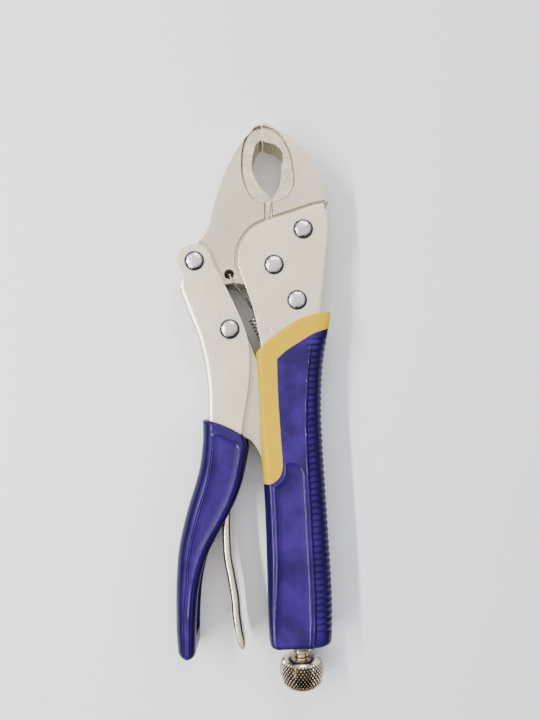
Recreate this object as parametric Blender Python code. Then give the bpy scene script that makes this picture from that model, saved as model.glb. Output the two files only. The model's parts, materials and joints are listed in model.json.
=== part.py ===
"""Locking pliers lying flat, jaws toward +Y, closed and locked.

Every outline is drawn in millimetres in the tool's own plane, with the jaw pivot at 0, 0 and the
adjusting screw's axis along Y. The thickness runs along Z, half above and half below that plane.
"""

import math

import bmesh
import bpy
from mathutils import Matrix, Vector

MM = 0.001

# Clearances
GAP = 0.3  # between two pieces side by side
HEAD_GAP = 0.15  # under a rivet head
SHAFT_GAP = 0.2  # round a rivet or pin in its hole

# Sheet channels and what fits between their plates
SHEET = 2.2
CHANNEL_WIDTH = 16.0
BEND_RADIUS = 2.5
PLATE_HALF = CHANNEL_WIDTH / 2
INNER_HALF = PLATE_HALF - SHEET
TAIL_HALF = INNER_HALF - GAP

# Jaws
JAW_SET_IN = 0.9  # from a plate's outer face to the jaw's cheek
JAW_HALF = PLATE_HALF - JAW_SET_IN
MOUTH_RECESS = 1.4
MOUTH_SLOPE = 0.7  # width of the recess's sloping edge
TOOTH_PITCH = 1.1
TOOTH_DEPTH = 0.55
STEP_AHEAD = 1.7  # from a plate's edge to the jaw's shoulder
HUB_RADIUS = 9.5
ARM_EYE_RADIUS = 7.0
SPRING_HOLE_RADIUS = 2.3
CUTTER_X = -1.75
CUTTER_HALF_WIDTH = 2.1
CUTTER_FLOOR_HALF = 1.4

# Pivots
JAW_PIVOT = Vector((0.0, 0.0))
LEVER_PIVOT = Vector((-35.5, 2.7))
LINK_PIVOT = Vector((-20.4, -28.4))
RELEASE_PIVOT = Vector((-24.6, -92.0))
FRONT_RIVET = Vector((13.5, 15.8))
REAR_RIVET = Vector((9.8, -16.2))
SPRING_HOLE = Vector((-20.2, -3.6))
RIVET_RADIUS = 3.2
RIVET_HEAD_RADIUS = RIVET_RADIUS + 1.3
RIVET_HEAD_HEIGHT = 1.7
PIN_RADIUS = 1.9
LEVER_EYE_RADIUS = 7.8
LEVER_NOTCH_Y = -5.6

# Link and release lever
LINK_HEAD_RADIUS = 6.4
LINK_FOOT_RADIUS = 4.0
LINK_FOOT = Vector((6.9, -95.5))
RELEASE_WIDTH = 2 * (INNER_HALF - 0.8)
RELEASE_NECK = 3.7

# Spring
WIRE_RADIUS = 0.45
COIL_RADIUS = 2.35
COIL_PITCH = 1.7
COIL_TURNS = 21
SPRING_START = Vector((-9.8, -22.4))
SPRING_ANCHOR = Vector((11.9, -66.8))
TAB_HALF = 0.8

# Adjusting screw and knob
SCREW_X = 7.1
SCREW_RADIUS = 4.0
SCREW_TIP_Y = -101.7
SCREW_NECK_RADIUS = SCREW_RADIUS - 0.8
COLLAR_RADIUS = INNER_HALF - GAP
COLLAR_TOP_Y = -160.0
COLLAR_END_Y = -168.0
NECK_RING_RADIUS = SCREW_NECK_RADIUS + 1.4
NECK_RING_LENGTH = 1.0
KNOB_RADIUS = 9.5
KNOB_TOP_Y = -171.6
KNOB_LENGTH = 12.4
KNOB_PROFILE = [  # share of the length from the top, share of the radius
    (0.0, 0.56), (0.03, 0.67), (0.10, 0.79), (0.21, 0.89), (0.37, 0.97), (0.55, 1.0), (0.71, 0.99),
    (0.84, 0.93), (0.94, 0.83), (1.0, 0.68),
]

# Grips
GRIP_WALL = 2.4
GRIP_HALF = PLATE_HALF + GAP + GRIP_WALL
GRIP_SLOT_HALF = INNER_HALF - 0.2
RIB_PITCH = 2.7
RIB_DEPTH = 0.45
RIBS_TOP_Y = -34.0
RIBS_END_Y = -161.0
CHANNEL_END_Y = -160.0
LEVER_END_Y = -160.0

# Outlines: x, y and the radius rolled over that edge
PLATE_FRONT = [
    (23.2, 27.4, 0.4), (18.0, 26.4, 0.4), (9.9, 23.9, 0.4), (-2.9, 20.0, 0.4), (-9.8, 16.5, 0.4),
    (-14.6, 9.8, 0.4), (-16.0, 1.8, 0.4), (-14.6, -4.5, 0.4), (-10.9, -15.5, 0.4),
    (-8.7, -24.4, 0.4), (-6.9, -35.0, 0.4), (-6.0, -50.0, 0.4), (-5.3, -80.0, 0.4),
    (-4.6, -110.0, 0.4), (-4.4, CHANNEL_END_Y, 0.4),
]
PLATE_BACK = [
    (25.4, 25.2, BEND_RADIUS), (25.9, 20.0, BEND_RADIUS), (25.3, 8.7, BEND_RADIUS),
    (22.9, -7.2, BEND_RADIUS), (21.0, -20.0, BEND_RADIUS), (18.8, -37.0, BEND_RADIUS),
    (17.2, -50.0, BEND_RADIUS), (16.3, -68.0, BEND_RADIUS), (16.7, -100.0, BEND_RADIUS),
    (17.6, -130.0, BEND_RADIUS), (17.7, CHANNEL_END_Y, BEND_RADIUS),
]
LEVER_FRONT = [
    (-26.8, 0.6, 0.4), (-24.1, -4.4, 0.4), (-20.1, -12.7, 0.4), (-15.6, -23.0, 0.4),
    (-12.5, -32.5, 0.4), (-11.8, -42.0, 0.4), (-12.7, -54.0, 0.4), (-15.2, -68.0, 0.4),
    (-17.2, -80.0, 0.4), (-20.0, -94.0, 0.4), (-25.4, -107.5, 0.4), (-32.0, -120.0, 0.4),
    (-37.6, -134.0, 0.4), (-39.8, LEVER_END_Y, 0.4),
]
LEVER_BACK = [
    (-43.0, -7.2, BEND_RADIUS), (-41.5, -12.6, BEND_RADIUS), (-37.4, -23.6, BEND_RADIUS),
    (-34.2, -32.5, BEND_RADIUS), (-31.9, -43.0, BEND_RADIUS), (-30.7, -56.0, BEND_RADIUS),
    (-30.9, -70.0, BEND_RADIUS), (-32.0, -85.0, BEND_RADIUS), (-35.8, -101.0, BEND_RADIUS),
    (-40.6, -117.0, BEND_RADIUS), (-43.2, -132.0, BEND_RADIUS), (-44.2, LEVER_END_Y, BEND_RADIUS),
]
MOVING_JAW_BACK = [
    (-4.3, 65.8), (-6.4, 64.7), (-8.6, 62.7), (-12.1, 58.4), (-15.6, 53.6), (-20.8, 43.7), (-25.8, 29.8),
    (-28.6, 18.8), (-31.4, 13.8), (-34.4, 11.4), (-37.2, 9.5),
]
MOVING_MOUTH = [
    (-4.4, 57.9), (-5.7, 57.3), (-7.4, 54.2), (-8.5, 48.4), (-8.0, 43.0), (-5.2, 36.7), (-0.4, 31.6),
]
FIXED_JAW_BACK = [
    (-3.2, 66.0), (0.0, 65.2), (5.0, 61.8), (10.0, 57.8), (15.0, 52.8), (19.0, 47.2), (22.2, 41.2),
    (24.4, 35.4), (25.3, 31.0), (25.4, 28.4),
]
FIXED_MOUTH = [
    (0.3, 31.6), (2.2, 34.4), (3.6, 39.4), (4.7, 46.4), (5.3, 49.9), (4.7, 53.0), (1.8, 56.0),
    (-2.4, 57.4), (-3.6, 57.9),
]
MOUTH_STEP = [
    (-3.0, 64.2), (-8.3, 62.6), (-12.0, 56.0), (-13.1, 45.6), (-11.9, 37.6), (-8.4, 31.2),
    (-2.0, 29.2), (5.0, 31.0), (9.4, 36.0), (9.5, 44.0), (7.8, 53.1), (3.2, 61.2),
]
TIP_CONTACT = (-3.9, 65.9)
LINK_LEFT = [
    (-26.6, -31.0), (-24.4, -40.0), (-21.6, -52.0), (-19.8, -62.0), (-18.3, -70.0), (-16.2, -75.4),
    (-12.4, -78.2), (-9.8, -82.0), (-7.0, -88.0), (-1.0, -94.0), (3.4, -97.6),
]
LINK_RIGHT = [(10.6, -93.8), (6.6, -84.0), (0.0, -67.0), (-9.6, -39.0), (-14.4, -26.2)]
RELEASE_LINE = [
    (-20.9, -80.0), (-23.4, -86.0), (-24.6, -92.0), (-23.6, -103.0), (-24.1, -115.0), (-23.8, -127.0),
    (-22.4, -136.0), (-20.9, -146.0), (-20.6, -152.0), (-19.6, -160.0), (-18.0, -166.4),
]
GRIP_TOP = [
    (-9.4, -39.6, 1.2), (-5.9, -36.3, 1.2), (0.0, -31.9, 1.2), (9.8, -25.5, 1.2),
    (17.0, -21.6, 1.2), (22.4, -20.5, 1.2), (24.2, -21.4, 1.4),
]
GRIP_BACK = [
    (24.5, -23.0, 1.8), (23.9, -26.0, 3.4), (23.1, -30.0, 6.0), (21.9, -37.5, 7.0),
    (20.2, -49.0, 7.0), (19.2, -66.0, 7.0), (19.4, -84.0, 7.0), (20.2, -110.0, 7.0),
    (21.0, -137.0, 7.0), (21.0, -150.0, 6.0), (20.7, -158.0, 3.4),
]
GRIP_END = [
    (20.0, -162.2, 2.4), (18.0, -164.6, 2.2), (14.5, -165.5, 2.2), (0.0, -165.5, 2.2),
    (-4.0, -164.9, 2.0), (-6.0, -162.8, 2.0),
]
GRIP_FRONT = [
    (-6.7, -159.6, 2.2), (-6.9, -150.0, 2.6), (-6.9, -118.0, 2.6), (-7.3, -97.0, 2.6),
    (-8.4, -76.0, 2.6), (-8.5, -58.0, 2.6), (-9.0, -46.0, 2.6),
]
ACCENT_EDGE = [(34.0, -24.0), (22.9, -29.3), (16.0, -31.8), (9.7, -35.4), (4.4, -38.6), (0.0, -42.4)]
ACCENT_INNER = [(0.0, -42.4), (0.0, -58.8), (0.8, -78.4), (1.2, -87.0), (0.2, -92.8), (-3.0, -95.9)]
LEVER_GRIP_TOP = [(-33.6, -67.4, 1.2), (-26.4, -69.6, 1.2), (-19.5, -73.0, 1.2), (-15.4, -75.6, 1.6)]
LEVER_GRIP_FRONT = [
    (-13.9, -79.5, 3.4), (-14.2, -84.0, 3.4), (-17.5, -97.8, 3.4), (-22.5, -108.6, 3.4),
    (-28.6, -118.8, 3.4), (-33.4, -128.6, 3.4), (-36.3, -140.0, 3.4), (-37.5, -152.0, 3.2),
    (-37.9, -161.0, 2.8), (-38.6, -166.6, 2.4),
]
LEVER_GRIP_END = [(-40.4, -169.3, 2.4), (-43.6, -168.2, 2.4)]
LEVER_GRIP_BACK = [
    (-45.8, -164.2, 2.8), (-46.5, -155.0, 3.4), (-46.2, -138.0, 3.4), (-44.9, -123.4, 3.4),
    (-41.4, -108.6, 3.4), (-35.8, -91.0, 3.4), (-33.8, -79.0, 3.4), (-33.5, -72.0, 2.4),
]

NICKEL = ((0.66, 0.63, 0.56), 0.34, 1.0)
POLISHED = ((0.78, 0.77, 0.74), 0.16, 1.0)
FORGED = ((0.62, 0.59, 0.52), 0.40, 1.0)
SPRING_STEEL = ((0.55, 0.55, 0.55), 0.28, 1.0)
NAVY = ((0.035, 0.032, 0.20), 0.50, 0.0)
YELLOW = ((0.90, 0.58, 0.04), 0.48, 0.0)


def spline(points, steps=4):
    """A Catmull-Rom curve through points of any dimension, ends included."""
    ends = [points[0]] + list(points) + [points[-1]]
    curve = []
    for before, start, end, after in zip(ends, ends[1:], ends[2:], ends[3:]):
        for step in range(steps):
            t = step / steps
            curve.append(tuple(
                0.5 * (2 * b + (c - a) * t + (2 * a - 5 * b + 4 * c - d) * t * t
                       + (3 * b - a - 3 * c + d) * t ** 3)
                for a, b, c, d in zip(before, start, end, after)
            ))
    return curve + [tuple(points[-1])]


def arc(center, radius, start, end, steps=16):
    """Points on an arc, from one angle in degrees to another."""
    angles = (math.radians(start + (end - start) * i / steps) for i in range(steps + 1))
    return [(center[0] + radius * math.cos(a), center[1] + radius * math.sin(a)) for a in angles]


def normals(outline):
    """Outward mitre vectors of a counter-clockwise closed outline."""
    found = []
    for i, point in enumerate(outline):
        here = Vector(point[:2])
        back = (here - Vector(outline[i - 1][:2])).normalized()
        ahead = (Vector(outline[(i + 1) % len(outline)][:2]) - here).normalized()
        side = Vector((back.y, -back.x)) + Vector((ahead.y, -ahead.x))
        found.append(side / max(side.length_squared / 2, 0.7))
    return found


def signed_area(outline):
    pairs = zip(outline, outline[1:] + outline[:1])
    return sum(a[0] * b[1] - b[0] * a[1] for a, b in pairs) / 2


def counter_clockwise(outline):
    """The closed outline without repeated points, the way round that its area is positive."""
    kept = [p for p, q in zip(outline, outline[1:] + outline[:1]) if math.dist(p[:2], q[:2]) > 0.02]
    return kept if signed_area(kept) > 0 else kept[::-1]


def grown(outline, distance):
    """The closed outline moved outward by a distance."""
    outline = counter_clockwise(outline)
    return [
        (point[0] + n.x * distance, point[1] + n.y * distance)
        for point, n in zip(outline, normals(outline))
    ]


def skin(rings):
    """One closed body from rings of equal length, the first at the bottom, capped at both ends."""
    mesh = bmesh.new()
    made = [[mesh.verts.new(Vector(point) * MM) for point in ring] for ring in rings]
    count = len(made[0])
    mesh.faces.new(list(reversed(made[0])))
    mesh.faces.new(made[-1])
    for low, high in zip(made, made[1:]):
        for i in range(count):
            j = (i + 1) % count
            mesh.faces.new((low[i], low[j], high[j], high[i]))
    return mesh


def prism(outline, low, high):
    outline = counter_clockwise(outline)
    return skin([[(p[0], p[1], z) for p in outline] for z in (low, high)])


def rolled(outline, half, flatten=1.0, steps=2, relief=None):
    """A prism about z 0 whose edges are rolled over by each point's own radius."""
    outline = counter_clockwise(outline)
    side = normals(outline)
    relief = relief or (lambda point: 0.0)
    rings = []
    for step in range(steps + 1):
        angle = math.pi / 2 * step / steps
        ring = []
        for point, n in zip(outline, side):
            inset = point[2] * (1 - math.cos(angle)) + relief(point) * math.cos(angle) ** 0.5
            height = half - flatten * point[2] * (1 - math.sin(angle))
            ring.append((point[0] - n.x * inset, point[1] - n.y * inset, height))
        rings.append(ring)
    return skin([[(x, y, -z) for x, y, z in ring] for ring in reversed(rings)] + rings)


def turned(profile, sides=32):
    """A body turned about the Z axis from (height, radius) points, lowest first."""
    angles = [2 * math.pi * i / sides for i in range(sides)]
    return skin([[(r * math.cos(a), r * math.sin(a), z) for a in angles] for z, r in profile])


def swept(path, radius, sides=6):
    """A round wire along a path of 3D points."""
    points = [Vector(p) for p in path]
    side = Vector((0.3, 0.2, 1.0))
    rings = []
    for i, point in enumerate(points):
        along = (points[min(i + 1, len(points) - 1)] - points[max(i - 1, 0)]).normalized()
        side = (side - along * side.dot(along)).normalized()
        up = along.cross(side)
        turns = (2 * math.pi * k / sides for k in range(sides))
        rings.append([tuple(point + radius * (math.cos(a) * side + math.sin(a) * up)) for a in turns])
    return skin(rings)


def material(name, look):
    colour, roughness, metallic = look
    made = bpy.data.materials.new(name)
    made.use_nodes = True
    shader = made.node_tree.nodes["Principled BSDF"]
    shader.inputs["Base Color"].default_value = (*colour, 1.0)
    shader.inputs["Roughness"].default_value = roughness
    shader.inputs["Metallic"].default_value = metallic
    made.diffuse_color = (*colour, 1.0)
    made.roughness = roughness
    made.metallic = metallic
    return made


def empty(name, pivot, parent=None):
    """An empty on a joint's axis, given in the drawing's millimetres."""
    made = bpy.data.objects.new(name, None)
    made.empty_display_size = 0.01
    here = Vector((pivot[0], pivot[1], 0.0)) * MM
    if parent is not None:
        made.parent = parent
        here -= Vector(parent["drawn_at"])
    made.location = here
    made["drawn_at"] = tuple(Vector((pivot[0], pivot[1], 0.0)) * MM)
    bpy.context.scene.collection.objects.link(made)
    return made


def add(name, mesh, look, parent):
    """The mesh, drawn round the jaw pivot, as an object whose origin is its parent's axis."""
    bmesh.ops.translate(mesh, verts=mesh.verts, vec=-Vector(parent["drawn_at"]))
    if mesh.calc_volume(signed=True) < 0:
        bmesh.ops.reverse_faces(mesh, faces=mesh.faces)
    data = bpy.data.meshes.new(name)
    mesh.to_mesh(data)
    mesh.free()
    made = bpy.data.objects.new(name, data)
    made.parent = parent
    bpy.context.scene.collection.objects.link(made)
    if look is not None:
        data.materials.append(material(name, look))
    return made


def boolean(target, mesh, name, operation="DIFFERENCE"):
    """Cuts, joins or crosses the target with a mesh kept as a hidden helper."""
    helper = add(f"{target.name}_{name}", mesh, None, target.parent)
    helper.hide_render = True
    helper.display_type = "WIRE"
    modifier = target.modifiers.new(name, "BOOLEAN")
    modifier.operation = operation
    modifier.solver = "EXACT"
    modifier.object = helper


def hole(target, center, radius, name):
    boolean(target, prism(arc(center, radius, 0, 345, 23), -2 * PLATE_HALF, 2 * PLATE_HALF), name)


def toothed(line):
    """The line with fine teeth cut back from it to its left."""
    fine = spline(line, 24)
    lengths = [0.0]
    for a, b in zip(fine, fine[1:]):
        lengths.append(lengths[-1] + math.dist(a, b))
    count = round(lengths[-1] / TOOTH_PITCH)
    teeth = []
    at = 0
    for step in range(2 * count + 1):
        wanted = lengths[-1] * step / (2 * count)
        while at < len(fine) - 2 and lengths[at + 1] < wanted:
            at += 1
        part = (wanted - lengths[at]) / (lengths[at + 1] - lengths[at])
        a, b = Vector(fine[at]), Vector(fine[at + 1])
        along = (b - a).normalized()
        depth = TOOTH_DEPTH * (step % 2)
        point = a.lerp(b, part) + Vector((-along.y, along.x)) * depth
        teeth.append((point.x, point.y))
    return teeth


def plate_outline():
    """The handle's side plate seen flat: head, front edge, foot and back edge."""
    return spline(PLATE_FRONT) + list(reversed(spline(PLATE_BACK)))


def cavity(outline, back, wall, opening, crown):
    """A channel's inside: its back edge less the wall, run out past the open side and both ends.

    The back wall stops at the height called crown.
    """
    inner = [p[:2] for p in spline(back, 4)]
    sign = 1 if opening > 0 else -1
    shifted = []
    for i, point in enumerate(inner):
        along = Vector(inner[min(i + 1, len(inner) - 1)]) - Vector(inner[max(i - 1, 0)])
        side = Vector((-along.y, along.x)).normalized() * sign
        shifted.append((point[0] + side.x * wall, point[1] + side.y * wall))
    low = min(p[1] for p in outline) - 10
    high = max(p[1] for p in outline) + 10
    far = opening * 80
    start = shifted[0][0]
    foot = shifted[-1][0]
    return [(-far, high), (-far, crown), (start, crown), *shifted, (foot, low), (far, low), (far, high)]


def handle_channel(parent):
    outline = plate_outline()
    made = add("handle_channel", rolled(outline, PLATE_HALF), NICKEL, parent)
    inside = cavity(outline, PLATE_BACK, SHEET, -1, PLATE_FRONT[0][1])
    boolean(made, prism(inside, -INNER_HALF, INNER_HALF), "inside")
    for center, name in ((JAW_PIVOT, "pivot"), (FRONT_RIVET, "front"), (REAR_RIVET, "rear")):
        hole(made, center, RIVET_RADIUS + SHAFT_GAP, f"{name}_hole")
    x, y = SPRING_ANCHOR
    tab = [(x - 2.6, y - 2.4), (x + 4.0, y - 2.9), (x + 4.0, y + 2.9), (x - 2.6, y + 2.4)]
    boolean(made, prism(tab, -TAB_HALF, TAB_HALF), "spring_tab", "UNION")
    boolean(made, prism(arc(SPRING_ANCHOR, 1.2, 0, 330, 11), -4, 4), "spring_tab_hole")
    return made


def tail_back():
    """The fixed jaw's edge along the inside of the channel's back wall."""
    return [(p[0] - SHEET - 2 * GAP, p[1]) for p in spline(PLATE_BACK[:5], 4)]


def fixed_tail():
    """The part of the fixed jaw that stands between the plates."""
    back = tail_back()
    foot = arc(REAR_RIVET, 6.2, -20, -165, 10)
    around = arc(JAW_PIVOT, HUB_RADIUS + 2 * GAP, -68, 98, 16)
    return back + foot + around + [(-1.2, 22.0), (-0.2, 29.5), (back[0][0], 29.5)]


def fixed_jaw(parent):
    mouth = toothed(FIXED_MOUTH[::-1])[::-1]
    tail = fixed_tail()
    head = (
        [(-1.2, 20.0), (-0.2, 29.5), (0.1, 31.0)] + mouth
        + [(TIP_CONTACT[0] + GAP, 64.5)] + spline(FIXED_JAW_BACK, 4)
        + [(tail_back()[0][0], FIXED_JAW_BACK[-1][1]), (tail_back()[0][0], 20.0)]
    )
    made = add("fixed_jaw", prism(head, -JAW_HALF, JAW_HALF), FORGED, parent)
    shoulder = grown([p[:2] for p in plate_outline()], STEP_AHEAD)
    for low, high, name in ((TAIL_HALF, 20, "upper"), (-20, -TAIL_HALF, "lower")):
        boolean(made, prism(shoulder, low, high), f"{name}_shoulder")
    boolean(made, prism(tail, -TAIL_HALF, TAIL_HALF), "tail", "UNION")
    finish_jaw(made)
    hole(made, FRONT_RIVET, RIVET_RADIUS + SHAFT_GAP, "front_hole")
    hole(made, REAR_RIVET, RIVET_RADIUS + SHAFT_GAP, "rear_hole")
    return made


def finish_jaw(jaw):
    """The recess round the mouth and the bevels of the wire cutter, on both faces."""
    recess = counter_clockwise(spline(MOUTH_STEP + MOUTH_STEP[:1], 3)[:-1])
    floor = JAW_HALF - MOUTH_RECESS
    spread = MOUTH_SLOPE / MOUTH_RECESS
    cutter = (CUTTER_HALF_WIDTH - CUTTER_FLOOR_HALF) / MOUTH_RECESS
    for sign, name in ((1, "upper"), (-1, "lower")):
        outer = grown(recess, spread * 2 * MOUTH_RECESS)
        sides = ((recess, floor), (outer, floor + 2 * MOUTH_RECESS))
        boolean(jaw, skin([[(x, y, sign * z) for x, y in ring] for ring, z in sides]), f"step_{name}")
        wide = CUTTER_FLOOR_HALF + 2 * MOUTH_RECESS * cutter
        section = [
            (-wide, floor + 2 * MOUTH_RECESS), (wide, floor + 2 * MOUTH_RECESS),
            (CUTTER_FLOOR_HALF, floor), (-CUTTER_FLOOR_HALF, floor),
        ]
        ring = [[(CUTTER_X + x, y, sign * z) for x, z in section] for y in (14.0, 29.4)]
        boolean(jaw, skin(ring), f"cutter_{name}")


def moving_jaw(parent):
    mouth = toothed(list(reversed(MOVING_MOUTH)))[::-1]
    eye = arc(LEVER_PIVOT, ARM_EYE_RADIUS, 104, 285, 14)
    hub = arc(JAW_PIVOT, HUB_RADIUS, 238, 460, 24)
    back = spline(MOVING_JAW_BACK, 4)
    outline = (
        [TIP_CONTACT, (TIP_CONTACT[0], 60.0)] + mouth + [(-0.5, 31.0), (-0.5, 29.5), (-1.5, 22.0)]
        + hub[::-1] + [(-13.4, -7.8), (-22.3, -7.6)] + eye[::-1] + back[::-1]
    )
    made = add("moving_jaw", prism(outline, -JAW_HALF, JAW_HALF), FORGED, parent)
    lever = [p[:2] for p in lever_outline()]
    for plate, name in (([p[:2] for p in plate_outline()], "handle"), (lever, "lever")):
        shoulder = grown(plate, STEP_AHEAD)
        boolean(made, prism(shoulder, TAIL_HALF, 20), f"{name}_shoulder_upper")
        boolean(made, prism(shoulder, -20, -TAIL_HALF), f"{name}_shoulder_lower")
    finish_jaw(made)
    hole(made, JAW_PIVOT, RIVET_RADIUS + SHAFT_GAP, "pivot_hole")
    hole(made, LEVER_PIVOT, RIVET_RADIUS + SHAFT_GAP, "lever_hole")
    hole(made, SPRING_HOLE, SPRING_HOLE_RADIUS, "spring_hole")
    return made


def lever_outline():
    eye = [(x, y, 0.4) for x, y in arc(LEVER_PIVOT, LEVER_EYE_RADIUS, 220, 10, 18)]
    notch = [(-41.0, LEVER_NOTCH_Y, 0.4)]
    return notch + eye + spline(LEVER_FRONT) + list(reversed(spline(LEVER_BACK)))


def lever_channel(parent):
    outline = lever_outline()
    made = add("lever_channel", rolled(outline, PLATE_HALF), NICKEL, parent)
    inside = cavity(outline, LEVER_BACK, SHEET, 1, LEVER_NOTCH_Y)
    boolean(made, prism(inside, -INNER_HALF, INNER_HALF), "inside")
    hole(made, LEVER_PIVOT, RIVET_RADIUS + SHAFT_GAP, "lever_hole")
    hole(made, LINK_PIVOT, RIVET_RADIUS + SHAFT_GAP, "link_hole")
    hole(made, RELEASE_PIVOT, PIN_RADIUS + SHAFT_GAP, "release_hole")
    return made


def toggle_link(parent):
    head = arc(LINK_PIVOT, LINK_HEAD_RADIUS, 20, 200, 14)
    foot = arc(LINK_FOOT, LINK_FOOT_RADIUS, 205, 385, 12)
    outline = head + spline(LINK_LEFT, 4) + foot + spline(LINK_RIGHT, 3)
    made = add("toggle_link", rolled([(*p, 0.5) for p in outline], TAIL_HALF, steps=1), FORGED, parent)
    hole(made, LINK_PIVOT, RIVET_RADIUS + SHAFT_GAP, "link_hole")
    return made


def release_lever(parent):
    line = spline(RELEASE_LINE, 4)
    left, right = [], []
    for i, point in enumerate(line):
        along = Vector(line[min(i + 1, len(line) - 1)]) - Vector(line[max(i - 1, 0)])
        from_end = math.dist(point, line[-1]) / RELEASE_NECK
        rounding = math.sqrt(1 - (1 - min(from_end + 0.1, 1)) ** 2)
        side = Vector((-along.y, along.x)).normalized() * RELEASE_NECK / 2 * rounding
        left.append((point[0] - side.x, point[1] - side.y))
        right.append((point[0] + side.x, point[1] + side.y))
    outline = [(*p, 0.5) for p in left + right[::-1]]
    half = RELEASE_WIDTH / 2
    made = add("release_lever", rolled(outline, half, steps=1), NICKEL, parent)
    boolean(made, prism(arc(RELEASE_PIVOT, 3.9, 0, 340, 17), -half, half), "boss", "UNION")
    hole(made, RELEASE_PIVOT, PIN_RADIUS + SHAFT_GAP, "pin_hole")
    return made


def jaw_spring(parent):
    """Hook in the moving jaw, straight wire, close coil and hook in the handle's tab."""
    over_jaw = JAW_HALF + GAP + WIRE_RADIUS
    over_tab = TAB_HALF + GAP + WIRE_RADIUS
    start = Vector((*SPRING_START, 0.5))
    axis = Vector((*SPRING_ANCHOR, 0.5)) - start
    along = axis.normalized()
    across = along.cross(Vector((0, 0, 1)))
    length = COIL_TURNS * COIL_PITCH
    path = [
        (SPRING_HOLE.x, SPRING_HOLE.y, 3.0), (SPRING_HOLE.x, SPRING_HOLE.y, over_jaw - 1.0),
        (SPRING_HOLE.x + 0.3, SPRING_HOLE.y - 0.5, over_jaw - 0.1),
        (SPRING_HOLE.x + 0.9, SPRING_HOLE.y - 1.6, over_jaw),
        (SPRING_HOLE.x + 2.6, SPRING_HOLE.y - 5.0, over_jaw - 0.1),
    ]
    entry = start - along * 1.2
    path.append(tuple(entry + Vector((0, 0, COIL_RADIUS))))
    per_turn = 10
    for step in range(COIL_TURNS * per_turn + 1):
        turn = 2 * math.pi * step / per_turn
        center = start + along * (length * step / (COIL_TURNS * per_turn))
        offset = math.cos(turn) * Vector((0, 0, 1)) + math.sin(turn) * across
        path.append(tuple(center + offset * COIL_RADIUS))
    x, y = SPRING_ANCHOR
    path += [
        (x - 1.2, y + 3.2, over_tab + 0.3), (x - 0.2, y + 0.8, over_tab),
        (x, y, over_tab - 0.5), (x, y, -over_tab - 0.6),
    ]
    return add("jaw_spring", swept(path, WIRE_RADIUS), SPRING_STEEL, parent)


def through_rivet(name, center, parent, look=POLISHED):
    """A round shaft through both plates with a domed head on each."""
    seat = PLATE_HALF + HEAD_GAP
    dome = [
        (seat + RIVET_HEAD_HEIGHT * math.sin(math.radians(a)),
         RIVET_HEAD_RADIUS * math.cos(math.radians(a)) ** 0.8)
        for a in (0, 18, 36, 54, 72, 84)
    ]
    side = [(seat, RIVET_RADIUS)] + dome
    mesh = turned([(-z, r) for z, r in reversed(side)] + side, 24)
    bmesh.ops.translate(mesh, verts=mesh.verts, vec=Vector((*center, 0)) * MM)
    return add(name, mesh, look, parent)


def release_pin(parent):
    end = PLATE_HALF - 0.1
    mesh = turned([(-end, PIN_RADIUS), (end, PIN_RADIUS)], 20)
    bmesh.ops.translate(mesh, verts=mesh.verts, vec=Vector((*RELEASE_PIVOT, 0)) * MM)
    return add("release_lever_pin", mesh, POLISHED, parent)


def along_screw(profile, sides=32):
    """A body turned about the screw's axis from (y, radius) points, furthest from the jaws first."""
    mesh = turned(profile, sides)
    turn = Matrix.Rotation(math.radians(-90), 4, "X")
    bmesh.ops.transform(mesh, matrix=turn, verts=mesh.verts)
    bmesh.ops.translate(mesh, verts=mesh.verts, vec=Vector((SCREW_X, 0, 0)) * MM)
    return mesh


def screw_collar(parent):
    """The threaded bush at the end of the handle."""
    chamfer = 0.5
    made = add("screw_collar", along_screw([
        (COLLAR_END_Y, COLLAR_RADIUS - chamfer), (COLLAR_END_Y + chamfer, COLLAR_RADIUS),
        (COLLAR_TOP_Y - 1.0, COLLAR_RADIUS), (COLLAR_TOP_Y + 6.0, COLLAR_RADIUS),
    ]), NICKEL, parent)
    bore = SCREW_RADIUS + GAP
    boolean(made, along_screw([(COLLAR_END_Y - 5, bore), (COLLAR_TOP_Y + 12, bore)], 24), "bore")
    return made


def adjusting_screw(parent):
    """The threaded rod, with its pointed-off tip and the neck that the knob is pressed on."""
    return add("adjusting_screw", along_screw([
        (KNOB_TOP_Y + GAP, SCREW_NECK_RADIUS), (COLLAR_END_Y + 0.5, SCREW_NECK_RADIUS),
        (COLLAR_END_Y + 1.0, SCREW_RADIUS), (SCREW_TIP_Y - 1.4, SCREW_RADIUS),
        (SCREW_TIP_Y - 0.4, SCREW_RADIUS - 1.0), (SCREW_TIP_Y, SCREW_RADIUS - 2.0),
    ], 24), NICKEL, parent)


def neck_ring(parent):
    """The plain ring on the screw's neck, just clear of the handle's end."""
    top = COLLAR_END_Y - GAP
    made = add("neck_ring", along_screw([
        (top - NECK_RING_LENGTH, NECK_RING_RADIUS), (top, NECK_RING_RADIUS),
    ], 24), NICKEL, parent)
    bore = SCREW_NECK_RADIUS + GAP
    boolean(made, along_screw([(top - 5, bore), (top + 5, bore)], 24), "bore")
    return made


def adjusting_knob(parent):
    """A barrel with a flat end."""
    profile = [(KNOB_TOP_Y - KNOB_LENGTH * y, KNOB_RADIUS * r) for y, r in reversed(KNOB_PROFILE)]
    return add("adjusting_knob", along_screw(profile, 48), POLISHED, parent)


def rib_relief(point):
    """How deep the cross ribs on the back of the handle cut in at a point of its outline."""
    x, y = point[:2]
    if x < 12 or not RIBS_END_Y < y < RIBS_TOP_Y:
        return 0.0
    return RIB_DEPTH * math.cos(math.pi * (y - RIBS_TOP_Y) / RIB_PITCH) ** 2


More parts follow.
